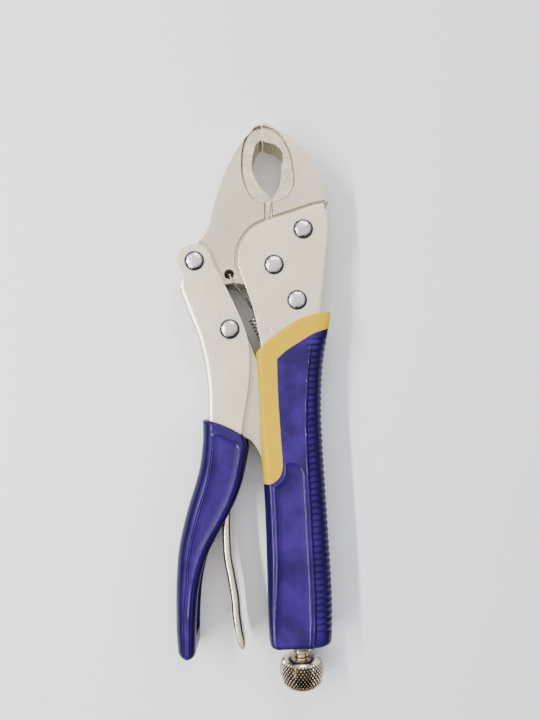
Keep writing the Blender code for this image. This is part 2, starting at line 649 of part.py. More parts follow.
def grip_outline():
    per_rib = 4
    back = spline(GRIP_BACK, 40)
    count = round((GRIP_BACK[0][1] - GRIP_BACK[-1][1]) / RIB_PITCH * per_rib)
    picked = []
    for step in range(count + 1):
        y = GRIP_BACK[0][1] - step * RIB_PITCH / per_rib
        picked.append(min(back, key=lambda p: abs(p[1] - y)))
    unique = [p for p, q in zip(picked, [None] + picked) if p != q]
    return spline(GRIP_TOP, 3) + unique + spline(GRIP_END, 3) + spline(GRIP_FRONT, 3)


def grip_blank(name, look, parent):
    """The whole sleeve on the handle, hollow where the channel and the screw's bush stand."""
    made = add(name, rolled(grip_outline(), GRIP_HALF, 0.55, 3, rib_relief), look, parent)
    outline = [p[:2] for p in plate_outline()]
    room = PLATE_HALF + GAP
    boolean(made, prism(grown(outline, GAP), -room, room), "channel")
    slot = [(0, -10), (-40, -10), (-40, CHANNEL_END_Y), (0, CHANNEL_END_Y)]
    boolean(made, prism(slot, -GRIP_SLOT_HALF, GRIP_SLOT_HALF), "slot")
    bore = COLLAR_RADIUS + GAP
    boolean(made, along_screw([(-190, bore), (-150, bore)], 24), "bore")
    return made


def accent_region():
    inner = spline(ACCENT_INNER, 4)
    return spline(ACCENT_EDGE, 3)[:-1] + inner + [(-30, -96.2), (-30, 20), (34.0, 20)]


def handle_grip(parent):
    made = grip_blank("handle_grip", NAVY, parent)
    boolean(made, prism(accent_region(), -30, 30), "parting")
    return made


def handle_grip_accent(parent):
    made = grip_blank("handle_grip_accent", YELLOW, parent)
    boolean(made, prism(grown(accent_region(), -GAP), -30, 30), "parting", "INTERSECT")
    return made


def lever_grip(parent):
    outline = (
        spline(LEVER_GRIP_TOP, 3) + spline(LEVER_GRIP_FRONT, 4) + spline(LEVER_GRIP_END, 3)
        + spline(LEVER_GRIP_BACK, 4)
    )
    made = add("lever_grip", rolled(outline, GRIP_HALF, 0.8, 3), NAVY, parent)
    channel = grown([p[:2] for p in lever_outline()], GAP)
    room = PLATE_HALF + GAP
    boolean(made, prism(channel, -room, room), "channel")
    front = [p[:2] for p in spline(LEVER_FRONT, 4) if p[1] < -50]
    slot = [(x - 1.0, y) for x, y in front] + [(0, LEVER_END_Y), (0, -50)]
    boolean(made, prism(slot, -GRIP_SLOT_HALF, GRIP_SLOT_HALF), "slot")
    return made


def build():
    for old in list(bpy.data.objects):
        bpy.data.objects.remove(old, do_unlink=True)
    left = min(p[0] for p in spline(LEVER_GRIP_BACK, 4))
    right = max(p[0] for p in spline(PLATE_BACK))
    top = max(p[1] for p in MOVING_JAW_BACK)
    end = KNOB_TOP_Y - KNOB_LENGTH
    root = empty("locking_pliers", JAW_PIVOT)
    root.location = Vector((-(left + right) / 2, -(top + end) / 2, GRIP_HALF)) * MM
    handle = root
    jaw = empty("jaw_axis", JAW_PIVOT, handle)
    lever = empty("lever_axis", LEVER_PIVOT, jaw)
    link = empty("link_axis", LINK_PIVOT, lever)
    release = empty("release_axis", RELEASE_PIVOT, lever)
    screw = empty("screw_axis", (SCREW_X, COLLAR_END_Y), handle)
    knob = empty("knob_axis", (SCREW_X, KNOB_TOP_Y), screw)
    handle_channel(handle)
    fixed_jaw(handle)
    through_rivet("jaw_pivot_rivet", JAW_PIVOT, handle)
    through_rivet("fixed_jaw_rivet_front", FRONT_RIVET, handle)
    through_rivet("fixed_jaw_rivet_rear", REAR_RIVET, handle)
    screw_collar(handle)
    handle_grip(handle)
    handle_grip_accent(handle)
    jaw_spring(handle)
    moving_jaw(jaw)
    lever_channel(lever)
    through_rivet("lever_pivot_rivet", LEVER_PIVOT, lever)
    through_rivet("link_pivot_rivet", LINK_PIVOT, lever)
    release_pin(lever)
    lever_grip(lever)
    toggle_link(link)
    release_lever(release)
    adjusting_screw(screw)
    neck_ring(screw)
    adjusting_knob(knob)


build()
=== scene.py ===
"""Locking pliers with curved jaws and two-colour grips, finished in detail on their fixed frame."""

import json
import math

import bmesh
import bpy
from bpy.props import FloatProperty, FloatVectorProperty, IntProperty, PointerProperty
from mathutils import Matrix, Vector


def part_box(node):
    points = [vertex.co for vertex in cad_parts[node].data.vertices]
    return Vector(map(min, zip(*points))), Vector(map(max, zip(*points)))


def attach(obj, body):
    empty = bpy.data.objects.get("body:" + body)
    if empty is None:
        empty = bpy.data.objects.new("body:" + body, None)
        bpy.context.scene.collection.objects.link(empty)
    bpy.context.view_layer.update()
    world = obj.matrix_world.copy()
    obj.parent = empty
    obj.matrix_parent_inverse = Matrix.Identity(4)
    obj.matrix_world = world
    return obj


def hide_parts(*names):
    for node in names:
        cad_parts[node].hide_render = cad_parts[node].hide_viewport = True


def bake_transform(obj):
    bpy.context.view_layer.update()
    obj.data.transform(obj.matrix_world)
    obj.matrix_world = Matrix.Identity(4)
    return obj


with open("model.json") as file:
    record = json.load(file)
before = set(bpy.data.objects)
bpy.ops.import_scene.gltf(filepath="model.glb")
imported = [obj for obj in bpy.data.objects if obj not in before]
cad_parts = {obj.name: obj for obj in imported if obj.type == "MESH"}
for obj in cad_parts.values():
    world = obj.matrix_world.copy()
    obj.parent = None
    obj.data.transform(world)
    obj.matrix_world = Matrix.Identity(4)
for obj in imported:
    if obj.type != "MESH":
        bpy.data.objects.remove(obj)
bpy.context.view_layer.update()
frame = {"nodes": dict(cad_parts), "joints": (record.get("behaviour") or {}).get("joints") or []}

bl_info = {
    "name": "Locking pliers",
    "version": (1, 0, 0),
    "blender": (4, 5, 0),
    "location": "3D View > Sidebar > Pliers",
    "description": "Makes the finished pieces of a pair of locking pliers on their fixed frame",
    "category": "Object",
}

JOINTS = {joint["name"]: joint for joint in frame["joints"]}
# Every point below is in millimetres from the jaw pivot, with the screw's axis along Y
JAW_PIVOT = Vector(JOINTS["jaw_pivot"]["pos_m"])
SCREW_AXIS = Vector(JOINTS["knob_turn"]["pos_m"])
MM = 0.001


def at(x, y, z=0.0):
    """A point drawn in millimetres from the jaw pivot, in metres in the frame."""
    return JAW_PIVOT + Vector((x, y, z)) * MM


def node_mm(node):
    """A node's lowest and highest corners, in millimetres from the jaw pivot."""
    low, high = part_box(node)
    return (Vector(low) - JAW_PIVOT) / MM, (Vector(high) - JAW_PIVOT) / MM


# ---------------------------------------------------------------- sizes and colours


def length(name, description, default):
    return FloatProperty(name=name, description=description, default=default, unit="LENGTH", precision=5)


def colour(name, description, default):
    return FloatVectorProperty(
        name=name, description=description, default=default, subtype="COLOR", min=0.0, max=1.0
    )


class PliersSizes(bpy.types.PropertyGroup):
    plate_edge: length("Plate edge", "Rounding along the side plates' cut edges", 0.00025)
    jaw_edge: length("Jaw edge", "Rounding along the jaws' ground edges", 0.0002)
    rivet_radius: length("Rivet head radius", "Radius of each domed rivet head", 0.0045)
    rivet_rise: length("Rivet head rise", "How far a rivet head stands above its plate", 0.0017)
    thread_pitch: length("Thread pitch", "Travel of the adjusting screw in one turn", 0.00125)
    knurl_depth: length("Knurl depth", "Height of the knob's diamond points", 0.0005)
    knurls_around: IntProperty(
        name="Diamonds round the knob", description="Diamond points in one row", default=38, min=8
    )
    knurl_rows: IntProperty(
        name="Rows of diamonds", description="Rows of points along the knob", default=9, min=2
    )
    coil_turns: IntProperty(
        name="Spring turns", description="Turns in the jaw's return spring", default=21, min=4
    )
    rib_pitch: length("Rib pitch", "Distance from one cross rib of the grip to the next", 0.0027)
    rib_depth: length("Rib depth", "Depth of the grooves between the ribs", 0.0004)
    dish_depth: length("Palm dish", "How far the face of each grip is dished", 0.0005)


class PliersColours(bpy.types.PropertyGroup):
    nickel: colour("Satin nickel", "Side plates", (0.90, 0.81, 0.595))
    forged: colour("Forged nickel", "Jaws and link", (0.69, 0.625, 0.46))
    polished: colour("Polished steel", "Rivet heads", (0.74, 0.72, 0.69))
    bright: colour("Bright nickel", "Screw and knob", (0.80, 0.70, 0.54))
    wire: colour("Spring wire", "Spring", (0.50, 0.50, 0.50))
    navy: colour("Navy grip", "Main moulding of both grips", (0.0065, 0.003, 0.042))
    yellow: colour("Yellow strip", "Soft strip round the handle's grip", (0.60, 0.41, 0.0))
    floor: colour("Floor", "Plain studio floor", (0.93, 0.93, 0.95))


# ---------------------------------------------------------------- node trees


def placed(tree, kind, inputs=None, **settings):
    """A node with its settings made, and each input given a value or joined to a socket."""
    node = tree.nodes.new(kind)
    for key, value in settings.items():
        setattr(node, key, value)
    for key, value in (inputs or {}).items():
        if isinstance(value, bpy.types.NodeSocket):
            tree.links.new(value, node.inputs[key])
        else:
            node.inputs[key].default_value = value
    return node


def calc(tree, operation, first, second=0.0):
    """The result of one Math node."""
    return placed(tree, "ShaderNodeMath", {0: first, 1: second}, operation=operation).outputs[0]


def vector(tree, x=0.0, y=0.0, z=0.0):
    """Three values as one vector."""
    return placed(tree, "ShaderNodeCombineXYZ", {0: x, 1: y, 2: z}).outputs[0]


def rises(tree, value, low, high):
    """A smooth step from 0 at low to 1 at high, or down again where high is the smaller."""
    node = placed(
        tree, "ShaderNodeMapRange",
        {"Value": value, "From Min": low, "From Max": high},
        interpolation_type="SMOOTHSTEP",
    )
    return node.outputs["Result"]


SOCKETS = {float: "NodeSocketFloat", int: "NodeSocketInt", tuple: "NodeSocketVector"}


def geometry_tree(name, inputs, maker):
    """A Geometry Nodes tree with named inputs, ending in real geometry with a material."""
    tree = bpy.data.node_groups.new(name, "GeometryNodeTree")
    tree.interface.new_socket("Geometry", in_out="INPUT", socket_type="NodeSocketGeometry")
    tree.interface.new_socket("Geometry", in_out="OUTPUT", socket_type="NodeSocketGeometry")
    for label, value in inputs.items():
        socket = tree.interface.new_socket(label, in_out="INPUT", socket_type=SOCKETS[type(value)])
        socket.default_value = value
    tree.interface.new_socket("Material", in_out="INPUT", socket_type="NodeSocketMaterial")
    given = tree.nodes.new("NodeGroupInput")
    made = maker(tree, given.outputs)
    real = placed(tree, "GeometryNodeRealizeInstances", {"Geometry": made})
    finish = placed(
        tree, "GeometryNodeSetMaterial",
        {"Geometry": real.outputs[0], "Material": given.outputs["Material"]},
    )
    placed(tree, "NodeGroupOutput", {"Geometry": finish.outputs[0]})
    return tree


def grow(piece, tree, values, finish):
    """Runs a tree on a piece with these inputs, and keeps the result as the piece's own mesh."""
    modifier = piece.modifiers.new(tree.name, "NODES")
    modifier.node_group = tree
    for item in tree.interface.items_tree:
        if item.in_out == "INPUT" and item.name in values:
            modifier[item.identifier] = values[item.name]
        elif item.in_out == "INPUT" and item.name == "Material":
            modifier[item.identifier] = finish
    settle(piece)


def settle(piece):
    """Keeps what a piece's modifiers make as its plain mesh, and removes the modifiers."""
    depsgraph = bpy.context.evaluated_depsgraph_get()
    mesh = bpy.data.meshes.new_from_object(piece.evaluated_get(depsgraph), depsgraph=depsgraph)
    if not mesh.polygons:
        raise RuntimeError(f"{piece.name} came out empty")
    piece.modifiers.clear()
    piece.data = mesh


# ---------------------------------------------------------------- finishes


def effect(name, inputs, outputs, maker):
    """A shader node group that puts out colours, values or normals only."""
    if name in bpy.data.node_groups:
        return bpy.data.node_groups[name]
    kinds = {"colour": "NodeSocketColor", "value": "NodeSocketFloat", "normal": "NodeSocketVector"}
    tree = bpy.data.node_groups.new(name, "ShaderNodeTree")
    for label, (kind, value) in inputs.items():
        socket = tree.interface.new_socket(label, in_out="INPUT", socket_type=kinds[kind])
        socket.default_value = value
    for label, kind in outputs.items():
        tree.interface.new_socket(label, in_out="OUTPUT", socket_type=kinds[kind])
    given = tree.nodes.new("NodeGroupInput").outputs
    made = maker(tree, given)
    placed(tree, "NodeGroupOutput", made)
    return tree


def noise(tree, scale, detail=3.0, stretch=(1.0, 1.0, 1.0)):
    """Cloudy values over the piece, with this many clouds in a metre."""
    where = placed(tree, "ShaderNodeTexCoord").outputs["Object"]
    spread = placed(tree, "ShaderNodeMapping", {"Vector": where, "Scale": stretch}).outputs[0]
    node = placed(tree, "ShaderNodeTexNoise", {"Vector": spread, "Scale": scale, "Detail": detail})
    return node.outputs["Fac"]


def mix(tree, share, first, second):
    """The first colour, going over to the second as the share rises from 0 to 1."""
    node = placed(tree, "ShaderNodeMix", {0: share, 6: first, 7: second}, data_type="RGBA")
    return node.outputs[2]


def between(tree, value, low, high, first, last):
    """A value between low and high, mapped evenly onto first to last."""
    node = placed(
        tree, "ShaderNodeMapRange",
        {"Value": value, "From Min": low, "From Max": high, "To Min": first, "To Max": last},
    )
    return node.outputs["Result"]


def blasted_nickel(tree, given):
    """Fine blasted grain under a plated coat, faint clouds, and short handling scratches."""
    grain = noise(tree, 1500.0, 3.0)
    cloud = noise(tree, 55.0, 4.0)
    scratch = noise(tree, 420.0, 2.0, (14.0, 0.6, 1.0))
    fine = rises(tree, scratch, 0.66, 0.74)
    tint = mix(tree, between(tree, cloud, 0.3, 0.7, 0.0, 0.55), given["Colour"], given["Shade"])
    tint = mix(tree, between(tree, grain, 0.36, 0.64, 0.0, 0.75), tint, given["Shade"])
    rough = between(tree, grain, 0.3, 0.7, given["Smoothest"], given["Roughest"])
    rough = calc(tree, "SUBTRACT", rough, calc(tree, "MULTIPLY", fine, 0.06))
    height = calc(tree, "SUBTRACT", grain, calc(tree, "MULTIPLY", fine, 0.5))
    bump = placed(
        tree, "ShaderNodeBump", {"Height": height, "Strength": given["Relief"], "Distance": 0.00006}
    )
    return {"Colour": tint, "Roughness": rough, "Normal": bump.outputs[0]}


def nickel_effect():
    return effect(
        "blasted nickel",
        {
            "Colour": ("colour", (0.7, 0.7, 0.7, 1.0)),
            "Shade": ("colour", (0.5, 0.5, 0.5, 1.0)),
            "Smoothest": ("value", 0.28),
            "Roughest": ("value", 0.42),
            "Relief": ("value", 0.5),
        },
        {"Colour": "colour", "Roughness": "value", "Normal": "normal"},
        blasted_nickel,
    )


def flatness(tree):
    """1 where a face lies level with the plates, falling to 0 where it stands upright."""
    facing = placed(tree, "ShaderNodeTexCoord").outputs["Normal"]
    return calc(tree, "ABSOLUTE", placed(tree, "ShaderNodeSeparateXYZ", {0: facing}).outputs["Z"])


def moulded_skin_and_sheen(tree, given):
    """Soft-touch moulding: a fine spark texture, and a painted sheen, paler in clouds, on its upward faces.
    """
    pores = noise(tree, 3400.0, 2.0)
    painted_sheen = noise(tree, 90.0, 5.0)
    # Painted sheen: faces turned up towards the light are paled in clouds towards the sheen colour
    facing_up = rises(tree, flatness(tree), 0.80, 0.995)
    sheen_mask = calc(tree, "MULTIPLY", facing_up, between(tree, painted_sheen, 0.38, 0.66, 0.30, 1.0))
    tint = mix(tree, sheen_mask, given["Colour"], given["Painted sheen"])
    rough = calc(
        tree, "ADD", between(tree, painted_sheen, 0.3, 0.7, given["Smoothest"], given["Roughest"]),
        between(tree, pores, 0.3, 0.7, -0.04, 0.04),
    )
    bump = placed(
        tree, "ShaderNodeBump", {"Height": pores, "Strength": given["Relief"], "Distance": 0.00008}
    )
    return {"Colour": tint, "Roughness": rough, "Normal": bump.outputs[0]}


def skin_effect():
    return effect(
        "moulded skin",
        {
            "Colour": ("colour", (0.1, 0.1, 0.3, 1.0)),
            "Painted sheen": ("colour", (0.2, 0.2, 0.4, 1.0)),
            "Smoothest": ("value", 0.3),
            "Roughest": ("value", 0.45),
            "Relief": ("value", 0.35),
        },
        {"Colour": "colour", "Roughness": "value", "Normal": "normal"},
        moulded_skin_and_sheen,
    )


def shaded(colours, share):
    return (*(channel * share for channel in colours), 1.0)


def new_finish(name, metallic):
    """A material and its shader, or None for the shader of one that was made before."""
    if name in bpy.data.materials and bpy.data.materials[name].get("pliers"):
        return bpy.data.materials[name], None
    made = bpy.data.materials.new(name)
    made["pliers"] = True
    made.use_nodes = True
    shader = made.node_tree.nodes["Principled BSDF"]
    shader.inputs["Metallic"].default_value = metallic
    return made, shader


def wire_up(made, shader, group, values, extra_height=None, extra_depth=0.12):
    """Feeds the shader from an effect group, with another relief over it if one is given."""
    tree = made.node_tree
    node = placed(tree, "ShaderNodeGroup", node_tree=group)
    for key, value in values.items():
        node.inputs[key].default_value = value
    tree.links.new(node.outputs["Colour"], shader.inputs["Base Color"])
    tree.links.new(node.outputs["Roughness"], shader.inputs["Roughness"])
    if extra_height is None:
        tree.links.new(node.outputs["Normal"], shader.inputs["Normal"])
    else:
        over = placed(
            tree, "ShaderNodeBump",
            {"Height": extra_height(tree), "Normal": node.outputs["Normal"],
             "Strength": 0.7, "Distance": extra_depth * MM},
        )
        tree.links.new(over.outputs[0], shader.inputs["Normal"])
    return node


def nickel_finish(
    name, tint, smoothest, roughest, relief, extra_height=None, shade=0.68, extra_depth=0.12
):
    made, shader = new_finish(name, 1.0)
    if shader is not None:
        wire_up(made, shader, nickel_effect(), {
            "Colour": shaded(tint, 1.0), "Shade": shaded(tint, shade),
            "Smoothest": smoothest, "Roughest": roughest, "Relief": relief,
        }, extra_height, extra_depth)
    return made


# Each skin finish gets a painted sheen on its upward faces, in the sheen colour given
def skin_finish(name, tint, painted_sheen, smoothest, roughest, relief, specular, coat):
    made, shader = new_finish(name, 0.0)
    if shader is not None:
        shader.inputs["Specular IOR Level"].default_value = specular
        shader.inputs["Coat Weight"].default_value = coat
        shader.inputs["Coat Roughness"].default_value = 0.13
        wire_up(made, shader, skin_effect(), {
            "Colour": shaded(tint, 1.0), "Painted sheen": (*painted_sheen, 1.0),
            "Smoothest": smoothest, "Roughest": roughest, "Relief": relief,
        })
    return made


# The painted sheen that the upward faces of each moulding pale towards
NAVY_PAINTED_SHEEN = (0.034, 0.010, 0.150)
YELLOW_PAINTED_SHEEN = (0.63, 0.365, 0.0)


def navy_skin(colours):
    """The navy moulding that both grips are made of, with its painted sheen."""
    return skin_finish("navy moulding", colours.navy, NAVY_PAINTED_SHEEN, 0.34, 0.46, 0.35, 0.06, 0.25)


def peened_dome(tree):
    """The shallow, uneven dents that a riveting press leaves in a head."""
    return noise(tree, 620.0, 1.0)


def milled_lines(tree):
    """Cutter marks that slant across the ground faces, below the level of the jaws' cheeks."""
    where = placed(tree, "ShaderNodeTexCoord").outputs["Object"]
    apart = placed(tree, "ShaderNodeSeparateXYZ", {"Vector": where})
    slant = calc(
        tree, "ADD", apart.outputs["Y"], calc(tree, "MULTIPLY", apart.outputs["X"], 0.34)
    )
    wave = calc(tree, "SINE", calc(tree, "MULTIPLY", slant, 2.0 * math.pi / 0.0011))
    uneven = calc(tree, "MULTIPLY", wave, noise(tree, 260.0, 2.0))
    cheek = (node_mm("moving_jaw")[1].z - 0.6) * MM
    rise = calc(tree, "ABSOLUTE", calc(tree, "SUBTRACT", apart.outputs["Z"], JAW_PIVOT.z))
    inside = rises(tree, rise, cheek, cheek - 0.0003)
    forward = rises(tree, apart.outputs["Y"], at(0, 28.0).y, at(0, 30.0).y)
    return calc(tree, "MULTIPLY", calc(tree, "MULTIPLY", uneven, inside), forward)


# Dark tones painted as shade: round the rivet skirts and between the knob's diamonds
PAINTED_SKIRT_SHADE = (0.13, 0.125, 0.12, 1.0)
PAINTED_VALLEY_SHADE = (0.045, 0.032, 0.018, 1.0)


def darken(finish, mask, tone):
    """Lays a painted shade over a finish's own colour, as far as the mask says."""
    tree = finish.node_tree
    base = tree.nodes["Principled BSDF"].inputs["Base Color"]
    tree.links.new(mix(tree, mask, base.links[0].from_socket, tone), base)


def paint_skirt_shade(finish):
    """Painted shade: a dark ring over the sloping skirt of a rivet head, standing in for the dark
    surroundings it reflects.
    """
    tree = finish.node_tree
    darken(finish, rises(tree, flatness(tree), 0.975, 0.85), PAINTED_SKIRT_SHADE)


def paint_valley_shade(finish, radius, bulge, middle, length):
    """Painted shade low between the diamonds of a barrel on the screw's axis."""
    tree = finish.node_tree
    where = placed(tree, "ShaderNodeTexCoord").outputs["Object"]
    apart = placed(tree, "ShaderNodeSeparateXYZ", {"Vector": where})
    off_x = calc(tree, "SUBTRACT", apart.outputs["X"], SCREW_AXIS.x)
    off_z = calc(tree, "SUBTRACT", apart.outputs["Z"], SCREW_AXIS.z)
    out = calc(
        tree, "SQRT", calc(tree, "ADD", calc(tree, "POWER", off_x, 2.0), calc(tree, "POWER", off_z, 2.0))
    )
    off_y = calc(tree, "ABSOLUTE", calc(tree, "SUBTRACT", apart.outputs["Y"], middle))
    share = calc(tree, "DIVIDE", off_y, length / 2)
    fall = calc(tree, "MULTIPLY", calc(tree, "POWER", share, 2.0), bulge)
    below = calc(tree, "SUBTRACT", radius, calc(tree, "ADD", out, fall))
    low = rises(tree, below, 0.00010, 0.00042)
    darken(finish, calc(tree, "MULTIPLY", low, rises(tree, share, 1.08, 1.0)), PAINTED_VALLEY_SHADE)


# ---------------------------------------------------------------- shapes


def new_piece(name, mesh, finish=None, sharp=35.0):
    """An object at the origin from a bmesh or a mesh, smooth up to an angle in degrees."""
    if isinstance(mesh, bmesh.types.BMesh):
        data = bpy.data.meshes.new(name)
        mesh.to_mesh(data)
        mesh.free()
    else:
        data = mesh
    made = bpy.data.objects.new(name, data)
    bpy.context.scene.collection.objects.link(made)
    smoothed(made, sharp)
    if finish is not None:
        painted(made, finish)
    return made


def painted(piece, finish):
    """Gives the whole piece one finish."""
    piece.data.materials.clear()
    piece.data.materials.append(finish)


def smoothed(piece, sharp=35.0):
    """Smooth shading up to an angle in degrees, set again after a shape has changed."""
    piece.data.shade_smooth()
    piece.data.set_sharp_from_angle(angle=math.radians(sharp))


def hand_over(piece, body, slot, *nodes):
    """The piece rides on its body, and stands for its nodes where it has any."""
    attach(piece, body)
    if nodes:
        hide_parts(*nodes)


def merged_copy(node, name, finish, edge, steps=2, angle=38.0):
    """A copy of a node with its triangles joined into whole faces and its edges rounded."""
    mesh = bmesh.new()
    mesh.from_mesh(frame["nodes"][node].data)
    bmesh.ops.remove_doubles(mesh, verts=mesh.verts, dist=0.000002)
    bmesh.ops.dissolve_limit(
        mesh, angle_limit=math.radians(0.6), verts=mesh.verts, edges=mesh.edges, use_dissolve_boundaries=False
    )
    piece = new_piece(name, mesh, finish)
    bevel = piece.modifiers.new("rounded edges", "BEVEL")
    bevel.width = edge
    bevel.segments = steps
    bevel.limit_method = "ANGLE"
    bevel.angle_limit = math.radians(angle)
    settle(piece)
    smoothed(piece)
    level = piece.modifiers.new("level faces", "WEIGHTED_NORMAL")
    level.mode = "FACE_AREA"
    level.keep_sharp = True
    settle(piece)
    return piece


def spline(points, steps=8):
    """A Catmull-Rom curve through points of any dimension, ends included."""
    ends = [points[0]] + list(points) + [points[-1]]
    curve = []
    for before, start, end, after in zip(ends, ends[1:], ends[2:], ends[3:]):
        for step in range(steps):
            t = step / steps
            curve.append(tuple(
                0.5 * (2 * b + (c - a) * t + (2 * a - 5 * b + 4 * c - d) * t * t
                       + (3 * b - a - 3 * c + d) * t ** 3)
                for a, b, c, d in zip(before, start, end, after)
            ))
    return curve + [tuple(points[-1])]


def even(points, count):
    """The curve through the points, as this many evenly spaced ones."""
    fine = [Vector(p) for p in spline(points, 24)]
    run = [0.0]
    for a, b in zip(fine, fine[1:]):
        run.append(run[-1] + (b - a).length)
    picked, spot = [], 0
    for step in range(count):
        wanted = run[-1] * step / (count - 1)
        while spot < len(fine) - 2 and run[spot + 1] < wanted:
            spot += 1
        share = (wanted - run[spot]) / max(run[spot + 1] - run[spot], 1e-9)
        picked.append(fine[spot].lerp(fine[spot + 1], share))
    return picked


def skin_over(rings):
    """One closed body over rings of equal length, capped at both ends, facing outward."""
    mesh = bmesh.new()
    made = [[mesh.verts.new(point) for point in ring] for ring in rings]
    count = len(made[0])
    mesh.faces.new(list(reversed(made[0])))
    mesh.faces.new(made[-1])
    for low, high in zip(made, made[1:]):
        for i in range(count):
            j = (i + 1) % count
            mesh.faces.new((low[i], low[j], high[j], high[i]))
    if mesh.calc_volume(signed=True) < 0:
        bmesh.ops.reverse_faces(mesh, faces=mesh.faces)
    return mesh


def slab(outline, low, high):
    """A flat piece with this outline, between two heights."""
    return skin_over([[at(x, y, z) for x, y in outline] for z in (low, high)])


def turned(profile, sides=96):
    """A body turned about the adjusting screw's axis, from (y, radius) in millimetres."""
    centre = (SCREW_AXIS.x - JAW_PIVOT.x) / MM
    rings = []
    for y, radius in profile:
        turns = (2 * math.pi * k / sides for k in range(sides))
        rings.append([at(centre + radius * math.cos(a), y, radius * math.sin(a)) for a in turns])
    return skin_over(rings)


def carve(piece, mesh, operation="DIFFERENCE"):
    """Cuts or crosses the piece with a shape, and keeps the result."""
    tool = new_piece("carving tool", mesh)
    modifier = piece.modifiers.new("carve", "BOOLEAN")
    modifier.operation = operation
    modifier.solver = "EXACT"
    modifier.object = tool
    settle(piece)
    bpy.data.objects.remove(tool, do_unlink=True)


def eased(value, low, high):
    """0 below low, 1 above high, smooth between."""
    t = min(max((value - low) / (high - low), 0.0), 1.0)
    return t * t * (3 - 2 * t)


def rolled_drop(share):
    """How far a quarter-round has fallen at a share of its width, as a share of its height."""
    return 1 - math.sqrt(max(1 - min(max(share, 0.0), 1.0) ** 2, 0.0))


# ---------------------------------------------------------------- plates, jaws and linkage


class PliersPlates(bpy.types.Operator):
    """Makes the handle's and the lever's pressed channels"""
    bl_idname = "pliers.plates"
    bl_label = "Side plates"

    def execute(self, context):
        sizes, colours = context.scene.pliers_sizes, context.scene.pliers_colours
        finish = nickel_finish("satin nickel", colours.nickel, 0.30, 0.42, 0.5)
        for node, body in (("handle_channel", "handle"), ("lever_channel", "lever")):
            piece = merged_copy(node, f"pressed_{node}", finish, sizes.plate_edge)
            hand_over(piece, body, node, node)
        return {"FINISHED"}


class PliersJaws(bpy.types.Operator):
    """Makes the fixed and the moving jaw, with ground mouths and cutting edges"""
    bl_idname = "pliers.jaws"
    bl_label = "Jaws"

    def execute(self, context):
        sizes, colours = context.scene.pliers_sizes, context.scene.pliers_colours
        finish = nickel_finish(
            "forged and ground nickel", colours.forged, 0.30, 0.46, 0.7, milled_lines, 0.66, 0.28
        )
        for node, body in (("fixed_jaw", "handle"), ("moving_jaw", "moving_jaw")):
            piece = merged_copy(node, f"forged_{node}", finish, sizes.jaw_edge)
            hand_over(piece, body, node, node)
        return {"FINISHED"}


def release_outline():
    """The pressed release lever seen flat: a curved strip with a rounded end."""
    line = [Vector(p) for p in spline([
        (-20.9, -80.0), (-23.4, -86.0), (-24.6, -92.0), (-23.6, -103.0), (-24.1, -115.0),
        (-23.8, -127.0), (-22.4, -136.0), (-20.9, -146.0), (-20.6, -152.0), (-19.6, -160.0),
        (-18.0, -166.4),
    ], 6)]
    left, right = [], []
    for i, point in enumerate(line):
        along = line[min(i + 1, len(line) - 1)] - line[max(i - 1, 0)]
        from_end = (point - line[-1]).length / 3.7
        rounding = math.sqrt(1 - (1 - min(from_end + 0.06, 1)) ** 2)
        side = Vector((-along.y, along.x)).normalized() * 1.85 * rounding
        left.append((point - side, side))
        right.append((point + side, -side))
    return left + right[::-1]


class PliersLinkage(bpy.types.Operator):
    """Makes the toggle link, the release lever and its pin"""
    bl_idname = "pliers.linkage"
    bl_label = "Toggle linkage"

    def execute(self, context):
        colours = context.scene.pliers_colours
        finish = nickel_finish("forged link nickel", colours.forged, 0.30, 0.44, 0.6)
        bright = nickel_finish("bright pressed nickel", colours.nickel, 0.18, 0.28, 0.3)
        link = merged_copy("toggle_link", "stamped_toggle_link", finish, 0.0003)
        hand_over(link, "link", "toggle_link", "toggle_link")
        roll, steps, half = 1.55, 5, node_mm("release_lever")[1].z
        rings = []
        for step in range(steps + 1):
            angle = math.pi / 2 * step / steps
            inset = roll * (1 - math.cos(angle)) / 1.85
            height = half - roll * (1 - math.sin(angle))
            rings.append([(*(point + side * inset), height) for point, side in release_outline()])
        lower = [[(x, y, -z) for x, y, z in ring] for ring in reversed(rings)]
        strip = skin_over([[at(*point) for point in ring] for ring in lower + rings])
        lever = new_piece("pressed_release_lever", strip, bright, 50)
        hand_over(lever, "release_lever", "release_lever", "release_lever")
        pin = merged_copy("release_lever_pin", "release_pin", bright, 0.0002)
        hand_over(pin, "lever", "release_lever_pin", "release_lever_pin")
        return {"FINISHED"}


def domed_rivet(tree, given):
    """On each point: a shaft through the tool with a skirted dome on both ends."""
    head = placed(tree, "GeometryNodeMeshUVSphere", {"Segments": 40, "Rings": 24, "Radius": 1.0})
    skirt = placed(
        tree, "GeometryNodeMeshCylinder", {"Vertices": 40, "Radius": 1.02, "Depth": 0.0004}
    )
    shaft = placed(
        tree, "GeometryNodeMeshCylinder",
        {"Vertices": 40, "Radius": 0.0032, "Depth": calc(tree, "MULTIPLY", given["Seat"], 2.0)},
    )
    join = placed(tree, "GeometryNodeJoinGeometry")
    tree.links.new(shaft.outputs["Mesh"], join.inputs[0])
    for sign in (1.0, -1.0):
        lift = vector(tree, z=calc(tree, "MULTIPLY", given["Seat"], sign))
        flat = vector(tree, given["Radius"], given["Radius"], given["Rise"])
        wide = vector(tree, given["Radius"], given["Radius"], 1.0)
        for mesh, scale in ((head, flat), (skirt, wide)):
            moved = placed(
                tree, "GeometryNodeTransform",
                {"Geometry": mesh.outputs["Mesh"], "Translation": lift, "Scale": scale},
            )
            tree.links.new(moved.outputs[0], join.inputs[0])
    spots = placed(
        tree, "GeometryNodeInstanceOnPoints",
        {"Points": given["Geometry"], "Instance": join.outputs[0]},
    )
    return spots.outputs[0]


def points_mesh(name, points):
    mesh = bpy.data.meshes.new(name)
    mesh.from_pydata([tuple(p) for p in points], [], [])
    return mesh


